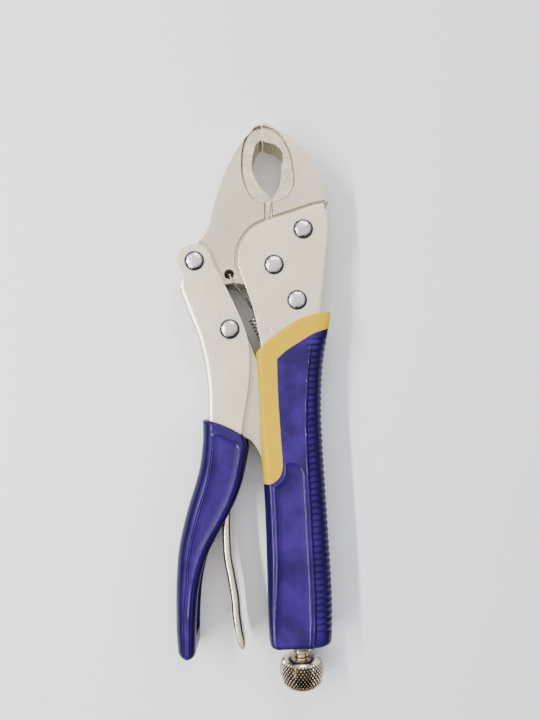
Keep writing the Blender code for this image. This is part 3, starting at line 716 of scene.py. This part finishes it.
class PliersRivets(bpy.types.Operator):
    """Makes the polished domed rivets, one set on the handle and one on the lever"""
    bl_idname = "pliers.rivets"
    bl_label = "Rivets"

    def execute(self, context):
        sizes, colours = context.scene.pliers_sizes, context.scene.pliers_colours
        finish = nickel_finish(
            "polished rivet steel", colours.polished, 0.20, 0.32, 0.3, peened_dome, 0.6, 0.35
        )
        # Painted shade round the skirt of each rivet head
        paint_skirt_shade(finish)
        plate_top = node_mm("handle_channel")[1].z
        values = {
            "Radius": sizes.rivet_radius, "Rise": sizes.rivet_rise, "Seat": (plate_top + 0.1) * MM,
        }
        tree = geometry_tree(
            "domed rivet", {"Radius": 0.0045, "Rise": 0.0017, "Seat": 0.0081}, domed_rivet
        )
        sets = (
            ("handle", "handle_rivets",
             ("jaw_pivot_rivet", "fixed_jaw_rivet_front", "fixed_jaw_rivet_rear")),
            ("lever", "lever_rivets", ("lever_pivot_rivet", "link_pivot_rivet")),
        )
        for body, name, nodes in sets:
            centres = []
            for node in nodes:
                low, high = (Vector(corner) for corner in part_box(node))
                centres.append((low + high) / 2)
            piece = new_piece(name, points_mesh(name, centres))
            grow(piece, tree, values, finish)
            smoothed(piece, 40)
            hand_over(piece, body, nodes[0], *nodes)
        return {"FINISHED"}


# ---------------------------------------------------------------- spring, screw and knob


def wound(tree, given):
    """A wire wound round Z, turned and moved to its place, joined to the piece's own wire path."""
    wire = placed(
        tree, "GeometryNodeCurvePrimitiveCircle", {"Resolution": given["Sides"], "Radius": given["Wire"]}
    )
    coil = placed(
        tree, "GeometryNodeCurveSpiral",
        {
            "Resolution": 28, "Rotations": given["Turns"], "Start Radius": given["Radius"],
            "End Radius": given["Radius"],
            "Height": calc(tree, "MULTIPLY", given["Turns"], given["Pitch"]),
        },
    )
    moved = placed(
        tree, "GeometryNodeTransform",
        {"Geometry": coil.outputs[0], "Translation": given["Place"], "Rotation": given["Turn"]},
    )
    ends = placed(tree, "GeometryNodeMeshToCurve", {"Mesh": given["Geometry"]})
    both = placed(tree, "GeometryNodeJoinGeometry")
    tree.links.new(ends.outputs[0], both.inputs[0])
    tree.links.new(moved.outputs[0], both.inputs[0])
    solid = placed(
        tree, "GeometryNodeCurveToMesh",
        {"Curve": both.outputs[0], "Profile Curve": wire.outputs[0], "Fill Caps": True},
    )
    return solid.outputs[0]


def wire_path(name, paths):
    """A mesh of edges only, along each path of points."""
    verts, edges = [], []
    for path in paths:
        start = len(verts)
        verts += [tuple(point) for point in path]
        edges += [(start + i, start + i + 1) for i in range(len(path) - 1)]
    mesh = bpy.data.meshes.new(name)
    mesh.from_pydata(verts, edges, [])
    return mesh


def winding_tree():
    return geometry_tree("wound wire", {
        "Wire": 0.0005, "Sides": 12, "Radius": 0.0023, "Pitch": 0.0017, "Turns": 20.0,
        "Place": (0.0, 0.0, 0.0), "Turn": (0.0, 0.0, 0.0),
    }, wound)


class PliersSpring(bpy.types.Operator):
    """Makes the return spring between the moving jaw and the handle"""
    bl_idname = "pliers.spring"
    bl_label = "Return spring"

    def execute(self, context):
        sizes, colours = context.scene.pliers_sizes, context.scene.pliers_colours
        finish = nickel_finish("drawn spring wire", colours.wire, 0.20, 0.32, 0.2)
        start, anchor = Vector((-9.8, -22.4, 0.5)), Vector((11.9, -66.8, 0.5))
        hook, radius = Vector((-20.2, -3.6, 0.0)), 2.35
        along = (anchor - start).normalized()
        turn = Vector((0.0, 0.0, 1.0)).rotation_difference(along).to_euler()
        pitch, rim = 1.7, turn.to_matrix() @ Vector((radius, 0.0, 0.0))
        entry = start + along * pitch * 0.4 + rim
        leave = start + along * pitch * sizes.coil_turns + rim
        lead = [
            hook + Vector((0.0, 0.0, 2.6)), hook + Vector((0.0, 0.0, 6.6)),
            hook + Vector((0.4, -0.7, 7.6)), hook + Vector((2.2, -4.2, 7.7)), entry,
        ]
        tail = [
            leave,
            anchor + Vector((-1.2, 3.2, 1.4)), anchor + Vector((-0.2, 0.8, 1.1)),
            anchor + Vector((0.0, 0.0, 0.4)), anchor + Vector((0.0, 0.0, -2.1)),
        ]
        paths = [[at(*point) for point in spline(path, 8)] for path in (lead, tail)]
        piece = new_piece("coil_spring", wire_path("coil_spring", paths))
        grow(piece, winding_tree(), {
            "Wire": 0.00045, "Sides": 10, "Radius": radius * MM, "Pitch": pitch * MM,
            "Turns": float(sizes.coil_turns), "Place": at(*start), "Turn": Vector(turn),
        }, finish)
        smoothed(piece, 60)
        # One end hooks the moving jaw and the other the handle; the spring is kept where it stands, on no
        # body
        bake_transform(piece)
        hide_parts("jaw_spring")
        return {"FINISHED"}


class PliersScrew(bpy.types.Operator):
    """Makes the threaded adjusting screw, its ring and the bush in the handle's end"""
    bl_idname = "pliers.screw"
    bl_label = "Adjusting screw"

    def execute(self, context):
        sizes, colours = context.scene.pliers_sizes, context.scene.pliers_colours
        finish = nickel_finish("bright thread nickel", colours.bright, 0.16, 0.28, 0.3)
        low, high = node_mm("adjusting_screw")
        radius = high.z
        core = radius - 0.55
        rod = new_piece("threaded_rod", turned([
            (low.y, 3.1), (low.y + 2.2, 3.2), (low.y + 2.6, core), (high.y - 2.0, core),
            (high.y - 0.6, 2.6), (high.y, 2.0),
        ], 48), finish)
        turns = (high.y - low.y - 5.2) / (sizes.thread_pitch / MM)
        thread = new_piece("rolled_thread", points_mesh("rolled_thread", []))
        grow(thread, winding_tree(), {
            "Wire": 0.00052, "Sides": 6, "Radius": (radius - 0.52) * MM,
            "Pitch": sizes.thread_pitch, "Turns": turns,
            "Place": Vector((SCREW_AXIS.x, at(0, low.y + 2.8).y, SCREW_AXIS.z)),
            "Turn": Vector((-math.pi / 2, 0.0, 0.0)),
        }, finish)
        smoothed(thread, 50)
        hand_over(thread, "screw", "adjusting_screw")
        hand_over(rod, "screw", "adjusting_screw", "adjusting_screw")
        low, high = node_mm("neck_ring")
        middle, half = (low.y + high.y) / 2, (high.y - low.y) / 2
        ring = new_piece("neck_collar_ring", turned([
            (middle + half * math.sin(a), 3.7 + 0.75 * math.cos(a) ** 0.7)
            for a in (math.radians(step) for step in range(-80, 81, 20))
        ], 64), finish)
        hand_over(ring, "screw", "neck_ring", "neck_ring")
        satin = nickel_finish("satin bush nickel", colours.nickel, 0.24, 0.36, 0.4)
        low, high = node_mm("screw_collar")
        outer, bore, edge = high.z, radius + 0.3, 0.5
        bush = new_piece("threaded_bush", turned([
            (low.y + 0.3, bore), (low.y, bore + 0.3), (low.y, outer - edge),
            (low.y + 0.15, outer - 0.15), (low.y + edge, outer), (high.y, outer), (high.y, bore),
        ], 64), satin, 30)
        hand_over(bush, "handle", "screw_collar", "screw_collar")
        return {"FINISHED"}


def diamond_knurl(tree, given):
    """Rows of small blunt diamonds wrapped round a barrel on the Y axis, joined to the piece."""
    count = calc(tree, "MULTIPLY", given["Around"], given["Rows"])
    points = placed(tree, "GeometryNodePoints", {"Count": count})
    index = placed(tree, "GeometryNodeInputIndex").outputs[0]
    row = calc(tree, "FLOOR", calc(tree, "DIVIDE", index, given["Around"]))
    column = calc(tree, "MODULO", index, given["Around"])
    offset = calc(tree, "MULTIPLY", calc(tree, "MODULO", row, 2.0), 0.5)
    turn = calc(
        tree, "DIVIDE",
        calc(tree, "MULTIPLY", calc(tree, "ADD", column, offset), 2.0 * math.pi), given["Around"],
    )
    share = calc(
        tree, "SUBTRACT",
        calc(tree, "DIVIDE", row, calc(tree, "SUBTRACT", given["Rows"], 1.0)), 0.5,
    )
    along = calc(tree, "MULTIPLY", share, given["Length"])
    fall = calc(
        tree, "MULTIPLY", calc(tree, "POWER", calc(tree, "MULTIPLY", share, 2.0), 2.0), given["Bulge"]
    )
    radius = calc(tree, "SUBTRACT", given["Radius"], fall)
    sunk = calc(tree, "SUBTRACT", radius, calc(tree, "MULTIPLY", given["Depth"], 0.5))
    spot = vector(
        tree, calc(tree, "MULTIPLY", sunk, calc(tree, "SINE", turn)), along,
        calc(tree, "MULTIPLY", sunk, calc(tree, "COSINE", turn)),
    )
    spot = placed(
        tree, "ShaderNodeVectorMath", {0: spot, 1: given["Place"]}, operation="ADD"
    ).outputs[0]
    moved = placed(
        tree, "GeometryNodeSetPosition", {"Geometry": points.outputs[0], "Position": spot}
    )
    diamond = placed(
        tree, "GeometryNodeMeshCone",
        {"Vertices": 4, "Radius Top": 0.22, "Radius Bottom": 1.0, "Depth": 1.0},
    )
    seated = placed(
        tree, "GeometryNodeTransform",
        {"Geometry": diamond.outputs["Mesh"], "Translation": (0.0, 0.0, -0.5)},
    )
    facing = vector(tree, y=turn)
    across = calc(tree, "DIVIDE", calc(tree, "MULTIPLY", radius, math.pi), given["Around"])
    down = calc(tree, "DIVIDE", given["Length"], calc(tree, "SUBTRACT", given["Rows"], 1.0))
    size = vector(tree, across, down, given["Depth"])
    spots = placed(tree, "GeometryNodeInstanceOnPoints", {
        "Points": moved.outputs[0], "Instance": seated.outputs[0], "Rotation": facing, "Scale": size,
    })
    both = placed(tree, "GeometryNodeJoinGeometry")
    tree.links.new(given["Geometry"], both.inputs[0])
    tree.links.new(spots.outputs[0], both.inputs[0])
    return both.outputs[0]


class PliersKnob(bpy.types.Operator):
    """Makes the barrel-shaped, diamond-knurled knob of the adjusting screw"""
    bl_idname = "pliers.knob"
    bl_label = "Knurled knob"

    def execute(self, context):
        sizes, colours = context.scene.pliers_sizes, context.scene.pliers_colours
        finish = nickel_finish("knurled knob nickel", colours.bright, 0.16, 0.26, 0.2)
        low, high = node_mm("adjusting_knob")
        radius, reach = high.z, high.y - low.y
        depth = sizes.knurl_depth / MM
        top, end = high.y - 0.17 * reach, high.y - 0.79 * reach
        core, bulge = radius - depth, 0.10 * radius
        profile = [(share, width * radius) for share, width in (
            (0.0, 0.50), (0.01, 0.58), (0.04, 0.68), (0.09, 0.755), (0.14, 0.805),
        )]
        profile += [
            (0.16 + 0.62 * k / 10, core - bulge * (k / 5 - 1.0) ** 2) for k in range(11)
        ]
        profile += [(share, width * radius) for share, width in (
            (0.80, 0.925), (0.84, 0.915), (0.89, 0.88), (0.93, 0.835), (0.965, 0.775), (0.99, 0.72),
            (1.0, 0.67),
        )]
        body = turned([(high.y - share * reach, width) for share, width in reversed(profile)])
        knob = new_piece("knurled_knob", body, finish)
        tree = geometry_tree("diamond knurl", {
            "Radius": 0.0095, "Length": 0.0075, "Bulge": 0.0005, "Depth": 0.0005,
            "Around": 38, "Rows": 9, "Place": (0.0, 0.0, 0.0),
        }, diamond_knurl)
        # Painted shade between the knob's diamonds
        paint_valley_shade(finish, radius * MM, bulge * MM, at(0, (top + end) / 2).y, (top - end) * MM)
        grow(knob, tree, {
            "Radius": radius * MM, "Length": (top - end) * MM, "Bulge": bulge * MM,
            "Depth": sizes.knurl_depth * 1.6, "Around": sizes.knurls_around,
            "Rows": sizes.knurl_rows,
            "Place": Vector((SCREW_AXIS.x, at(0, (top + end) / 2).y, SCREW_AXIS.z)),
        }, finish)
        smoothed(knob, 20)
        hand_over(knob, "knob", "adjusting_knob", "adjusting_knob")
        return {"FINISHED"}


# ---------------------------------------------------------------- grips


def cross_ribs(tree, given):
    """Soft grooves cut across the part of a grip that lies beyond a line along its back."""
    where = placed(tree, "GeometryNodeInputPosition").outputs[0]
    apart = placed(tree, "ShaderNodeSeparateXYZ", {"Vector": where})
    along = apart.outputs["Y"]
    turn = calc(
        tree, "DIVIDE", calc(tree, "MULTIPLY", calc(tree, "SUBTRACT", given["Top"], along),
                             2.0 * math.pi), given["Pitch"],
    )
    wave = calc(tree, "MULTIPLY_ADD", calc(tree, "COSINE", turn), -0.5)
    wave.node.inputs[2].default_value = 0.5
    groove = calc(tree, "POWER", wave, 1.6)
    back = rises(tree, apart.outputs["X"], given["Line"], calc(tree, "ADD", given["Line"], 0.0016))
    upper = rises(tree, along, given["Top"], calc(tree, "SUBTRACT", given["Top"], 0.002))
    lower = rises(tree, along, given["End"], calc(tree, "ADD", given["End"], 0.002))
    depth = calc(tree, "MULTIPLY", groove, given["Depth"])
    for mask in (back, upper, lower):
        depth = calc(tree, "MULTIPLY", depth, mask)
    normal = placed(tree, "GeometryNodeInputNormal").outputs[0]
    shift = placed(
        tree, "ShaderNodeVectorMath",
        {0: normal, "Scale": calc(tree, "MULTIPLY", depth, -1.0)}, operation="SCALE",
    ).outputs[0]
    moved = placed(
        tree, "GeometryNodeSetPosition", {"Geometry": given["Geometry"], "Offset": shift}
    )
    return moved.outputs[0]


def sleeve(left, right, bow, face, rows, caps):
    """A moulded sleeve between two edge lines, from its mouth to its end.

    bow lifts the middle of the mouth, face gives the height at a distance from the left edge, and
    caps are the roundings at the mouth and the end, all in millimetres.
    """
    lefts, rights = even(left, rows), even(right, rows)
    spans = [i / SPANS for i in range(SPANS + 1)]
    shares = [0.5 * s + 0.25 * (1 - math.cos(math.pi * s)) for s in spans]
    rings = []
    for row, (a, b) in enumerate(zip(lefts, rights)):
        width = (b - a).length
        lift = bow * eased(1 - row / rows, 0.55, 1.0)
        ring = []
        for share in shares:
            spot = a.lerp(b, share)
            spot = Vector((spot.x, spot.y + lift * 4 * share * (1 - share)))
            ring.append((spot.x, spot.y, face(share * width, width, spot)))
        under = [(x, y, -z) for x, y, z in reversed(ring)]
        rings.append(ring + under)
    mouth, end = caps
    steps = 5
    first, last = rings[0], rings[-1]
    before = [shrunk(first, mouth, k / steps, 1) for k in range(steps, 0, -1)]
    after = [shrunk(last, end, k / steps, -1) for k in range(1, steps + 1)]
    return skin_over([[at(*p) for p in ring] for ring in before + rings + after])


def shrunk(ring, radius, share, direction):
    """A ring drawn in and moved out along the sleeve, to round its end over a radius."""
    angle = math.pi / 2 * share
    inset, out = radius * (1 - math.cos(angle)), radius * math.sin(angle)
    half = len(ring) // 2
    a, b = Vector(ring[0][:2]), Vector(ring[half - 1][:2])
    across = (b - a).normalized()
    forward = Vector((-across.y, across.x)) * direction
    width = (b - a).length
    made = []
    for x, y, z in ring:
        along = (Vector((x, y)) - a).dot(across)
        pull = inset * (1 - 2 * along / width)
        spot = Vector((x, y)) + across * pull + forward * out
        made.append((spot.x, spot.y, z - math.copysign(min(inset, abs(z)), z)))
    return made


HANDLE_LEFT = [
    (-9.2, -40.6), (-9.0, -46.0), (-8.5, -58.0), (-8.4, -76.0), (-7.3, -97.0), (-6.9, -118.0),
    (-6.9, -150.0), (-6.7, -159.6), (-6.4, -163.3),
]
HANDLE_RIGHT = [
    (24.3, -22.4), (23.9, -26.0), (23.1, -30.0), (21.9, -37.5), (20.2, -49.0), (19.2, -66.0),
    (19.4, -84.0), (20.2, -110.0), (21.0, -137.0), (21.0, -150.0), (20.7, -158.0), (20.2, -163.3),
]
LEVER_LEFT = [
    (-33.6, -68.6), (-33.5, -72.0), (-33.8, -79.0), (-35.8, -91.0), (-41.4, -108.6),
    (-44.9, -123.4), (-46.2, -138.0), (-46.5, -155.0), (-46.0, -165.4),
]
LEVER_RIGHT = [
    (-14.8, -77.0), (-13.9, -79.5), (-14.2, -84.0), (-17.5, -97.8), (-22.5, -108.6),
    (-28.6, -118.8), (-33.4, -128.6), (-36.3, -140.0), (-37.5, -152.0), (-38.0, -165.9),
]
ACCENT_EDGE = [(34.0, -24.0), (22.9, -29.3), (16.0, -31.8), (9.7, -35.4), (4.4, -38.6), (0.0, -42.4)]
ACCENT_INNER = [
    (0.0, -42.4), (0.0, -58.8), (0.8, -78.4), (1.2, -87.0), (0.9, -90.4), (-0.4, -93.4), (-2.8, -95.5),
    (-5.6, -96.3),
]
HANDLE_BACK_WALL = [
    (23.2, 20.0), (22.6, 8.0), (20.4, -7.0), (18.4, -20.0), (16.2, -37.0), (14.6, -50.0),
    (13.7, -68.0), (14.1, -100.0), (15.0, -130.0), (15.1, -160.0),
]
LEVER_BACK_WALL = [
    (-28.1, -56.0), (-28.3, -70.0), (-29.4, -85.0), (-33.2, -101.0), (-38.0, -117.0), (-40.6, -132.0),
    (-41.6, -160.0),
]
GRIP_HALF = 10.7
SLOT_HALF = 5.6
SPANS = 110
BEAD_RISE = 0.3


def corner(first, second, radius):
    """How far inside a corner a point is, from its depths past both edges, with the corner round."""
    if first < radius and second < radius:
        return radius - math.hypot(radius - first, radius - second)
    return min(first, second)


def beaded_panel(depth, dish):
    """What a dished panel with a fine raised bead round it takes off, this far inside its edge."""
    bead = math.exp(-((depth - 0.1) / 0.45) ** 2)
    return BEAD_RISE * (1 - bead) + dish * eased(depth, 0.3, 3.0)


def clear_of_strip(spot):
    """How far a point is outside the yellow strip's straight edge and its rounded end."""
    if spot.y > -90.5:
        return spot.x - 2.4
    return math.hypot(spot.x + 4.2, spot.y + 90.5) - 6.6


def handle_face(dish):
    """The handle's grip across: a soft front edge, a beaded panel and a falling, ribbed back."""
    def height(s, width, spot):
        front = 2.6 + 1.7 * eased(-spot.y, 62, 100) - 1.9 * eased(-spot.y, 126, 160)
        bead = width - 9.4
        across = corner(s - front - 0.5, bead - s, 3.0)
        depth = corner(across, -spot.y - 87.0, 6.0)
        depth = corner(depth, clear_of_strip(spot), 1.5)
        fall = 5.2 * rolled_drop((front - s) / front)
        fall += beaded_panel(depth, dish * (1 - eased(-spot.y, 154, 163)))
        past = s - bead
        ridge = eased(-spot.y, 34, 42)
        fall -= BEAD_RISE * ridge * math.exp(-((past - 1.3) / 0.4) ** 2)
        if past > 0:
            steep = 2.6 + 3.4 * eased(-spot.y, 27, 40)
            fall += steep * rolled_drop(past / 9.4) + 0.25 * ridge * eased(past, 1.5, 2.2)
        return GRIP_HALF - fall
    return height


def lever_face(dish):
    """The lever's grip across: a broad falling back, and a beaded panel that ends at its mouth."""
    def height(s, width, spot):
        back = min(6.0, 0.58 * width)
        front = min(2.7, 0.3 * width)
        fall = 6.4 * rolled_drop((back - s) / back) + 3.2 * rolled_drop((s - width + front) / front)
        below = -67.4 - (spot.x + 33.6) * 0.45 - spot.y
        across = corner(s - back + 0.6, width - front - s, 2.0)
        depth = corner(across, below - 3.2, 3.0)
        shallow = min(1.0, width / 14) * (1 - eased(-spot.y, 120, 135))
        fall += beaded_panel(depth, dish * shallow)
        return GRIP_HALF - fall
    return height


class PliersHandleGrip(bpy.types.Operator):
    """Makes the handle's two-colour grip with its cross ribs and the parting between the colours"""
    bl_idname = "pliers.handle_grip"
    bl_label = "Handle grip"

    def execute(self, context):
        sizes, colours = context.scene.pliers_sizes, context.scene.pliers_colours
        navy = navy_skin(colours)
        # The yellow strip carries the same painted sheen, in its own colour
        yellow = skin_finish(
            "yellow moulding", colours.yellow, YELLOW_PAINTED_SHEEN, 0.34, 0.44, 0.3, 0.1, 0.1
        )
        mesh = sleeve(
            HANDLE_LEFT, HANDLE_RIGHT, 3.7, handle_face(sizes.dish_depth / MM), 340, (1.3, 2.2)
        )
        blank = new_piece("grip blank", mesh)
        ribs = geometry_tree(
            "cross ribs", {"Pitch": 0.0027, "Depth": 0.0006, "Line": 0.0, "Top": 0.0, "End": 0.0},
            cross_ribs,
        )
        grow(blank, ribs, {
            "Pitch": sizes.rib_pitch, "Depth": sizes.rib_depth, "Line": at(12.4, 0).x,
            "Top": at(0, -33.0).y, "End": at(0, -160.5).y,
        }, navy)
        wall = [tuple(p) for p in spline(HANDLE_BACK_WALL, 4)]
        carve(blank, slab([(-60, 20)] + wall + [(-60, -160)], -SLOT_HALF, SLOT_HALF))
        bore = node_mm("screw_collar")[1].z + 0.3
        carve(blank, turned([(-190, bore), (-150, bore)], 64))
        inner = spline(ACCENT_INNER, 8)
        region = spline(ACCENT_EDGE, 6)[:-1] + inner + [(-30, -96.3), (-30, 20), (34.0, 20)]
        accent = new_piece("yellow_strip", blank.data.copy())
        carve(accent, slab(region, -30, 30), "INTERSECT")
        shift = [(x + 0.22, y - 0.12) for x, y in region]
        carve(blank, slab(shift, -30, 30))
        blank.name = "ribbed_handle_grip"
        for piece, finish, node in (
            (blank, navy, "handle_grip"), (accent, yellow, "handle_grip_accent"),
        ):
            painted(piece, finish)
            smoothed(piece, 42)
            hand_over(piece, "handle", node, node)
        return {"FINISHED"}


class PliersLeverGrip(bpy.types.Operator):
    """Makes the lever's curved grip with its raised bead and dished face"""
    bl_idname = "pliers.lever_grip"
    bl_label = "Lever grip"

    def execute(self, context):
        sizes, colours = context.scene.pliers_sizes, context.scene.pliers_colours
        mesh = sleeve(
            LEVER_LEFT, LEVER_RIGHT, 1.0, lever_face(sizes.dish_depth / MM), 260, (1.2, 3.4)
        )
        piece = new_piece("curved_lever_grip", mesh)
        wall = [tuple(p) for p in spline(LEVER_BACK_WALL, 4)]
        carve(piece, slab(wall + [(0, -160), (0, -56)], -SLOT_HALF, SLOT_HALF))
        painted(piece, navy_skin(colours))
        smoothed(piece, 42)
        hand_over(piece, "lever", "lever_grip", "lever_grip")
        return {"FINISHED"}


# ---------------------------------------------------------------- stage


BACKDROP_DARK = (0.065, 0.068, 0.085, 1.0)
BACKDROP_LIGHT = (0.88, 0.88, 0.90, 1.0)
BACKDROP_STRENGTH = 2.1
CAMERA_STAND = (-3.2, -60.2, 248.4)
CAMERA_AIM = (-3.2, -41.96, 0.0)
CAMERA_LEAN = math.radians(1.6)


def soft_box(name, place, aim, size, power):
    """An oblong area light at a place, facing a point, with its size in metres and power in watts."""
    light = bpy.data.lights.new(name, "AREA")
    light.shape = "RECTANGLE"
    light.size, light.size_y = size
    light.energy = power
    made = bpy.data.objects.new(name, light)
    bpy.context.scene.collection.objects.link(made)
    made.location = place
    made.rotation_euler = (aim - place).to_track_quat("-Z", "Y").to_euler()


class PliersStage(bpy.types.Operator):
    """Makes the plain floor, the soft studio lights and the camera"""
    bl_idname = "pliers.stage"
    bl_label = "Stage"

    def execute(self, context):
        colours = context.scene.pliers_colours
        floor_mesh = bmesh.new()
        bmesh.ops.create_grid(floor_mesh, x_segments=1, y_segments=1, size=2.5)
        finish, shader = new_finish("studio floor", 0.0)
        if shader is not None:
            tree = finish.node_tree
            cloud = noise(tree, 3.0, 2.0)
            tint = mix(tree, cloud, shaded(colours.floor, 1.0), shaded(colours.floor, 0.97))
            tree.links.new(tint, shader.inputs["Base Color"])
            shader.inputs["Roughness"].default_value = 0.85
        floor = new_piece("floor", floor_mesh, finish)
        world = bpy.data.worlds.new("soft studio")
        context.scene.world = world
        world.use_nodes = True
        tree = world.node_tree
        backdrop = tree.nodes["Background"]
        where = placed(tree, "ShaderNodeTexCoord").outputs["Generated"]
        aim = placed(tree, "ShaderNodeSeparateXYZ", {"Vector": where})
        ahead = calc(tree, "MULTIPLY", aim.outputs["Y"], 0.4)
        glow = rises(tree, calc(tree, "ADD", aim.outputs["Z"], ahead), 0.42, 1.0)
        tint = mix(tree, glow, BACKDROP_DARK, BACKDROP_LIGHT)
        tree.links.new(tint, backdrop.inputs["Color"])
        backdrop.inputs["Strength"].default_value = BACKDROP_STRENGTH
        middle = at(0, -60)
        soft_box("left strip", middle + Vector((-0.42, -0.03, 0.50)), middle, (0.8, 0.014), 6.5)
        soft_box("far box", middle + Vector((0.10, 0.62, 0.50)), middle, (0.4, 0.10), 2.0)
        stand = at(*CAMERA_STAND)
        look = (at(*CAMERA_AIM) - stand).normalized()
        side = look.cross(Vector((math.sin(CAMERA_LEAN), math.cos(CAMERA_LEAN), 0.0))).normalized()
        up = side.cross(look)
        data = bpy.data.cameras.new("camera")
        data.lens = 27.4
        data.sensor_width = 36.0
        data.clip_start = 0.01
        camera = bpy.data.objects.new("camera", data)
        context.scene.collection.objects.link(camera)
        turn = Matrix((side, up, -look)).transposed().to_4x4()
        camera.matrix_world = Matrix.Translation(stand) @ turn
        context.scene.camera = camera
        return {"FINISHED"}


class PliersPanel(bpy.types.Panel):
    bl_idname = "VIEW3D_PT_pliers"
    bl_label = "Locking pliers"
    bl_space_type = "VIEW_3D"
    bl_region_type = "UI"
    bl_category = "Pliers"

    def draw(self, context):
        layout = self.layout
        for operator in OPERATORS:
            layout.operator(operator.bl_idname)
        for group in (context.scene.pliers_sizes, context.scene.pliers_colours):
            box = layout.box()
            for key in group.bl_rna.properties.keys():
                if key not in {"rna_type", "name"}:
                    box.prop(group, key)


OPERATORS = (
    PliersPlates, PliersJaws, PliersLinkage, PliersRivets, PliersSpring, PliersScrew, PliersKnob,
    PliersHandleGrip, PliersLeverGrip, PliersStage,
)
CLASSES = (PliersSizes, PliersColours, *OPERATORS, PliersPanel)


def register():
    for kind in CLASSES:
        bpy.utils.register_class(kind)
    bpy.types.Scene.pliers_sizes = PointerProperty(type=PliersSizes)
    bpy.types.Scene.pliers_colours = PointerProperty(type=PliersColours)


def unregister():
    del bpy.types.Scene.pliers_colours
    del bpy.types.Scene.pliers_sizes
    for kind in reversed(CLASSES):
        bpy.utils.unregister_class(kind)


def main():
    register()
    bpy.ops.pliers.plates()
    bpy.ops.pliers.jaws()
    bpy.ops.pliers.linkage()
    bpy.ops.pliers.rivets()
    bpy.ops.pliers.spring()
    bpy.ops.pliers.screw()
    bpy.ops.pliers.knob()
    bpy.ops.pliers.handle_grip()
    bpy.ops.pliers.lever_grip()
    bpy.ops.pliers.stage()
    bpy.context.view_layer.update()


if __name__ == "__main__":
    main()
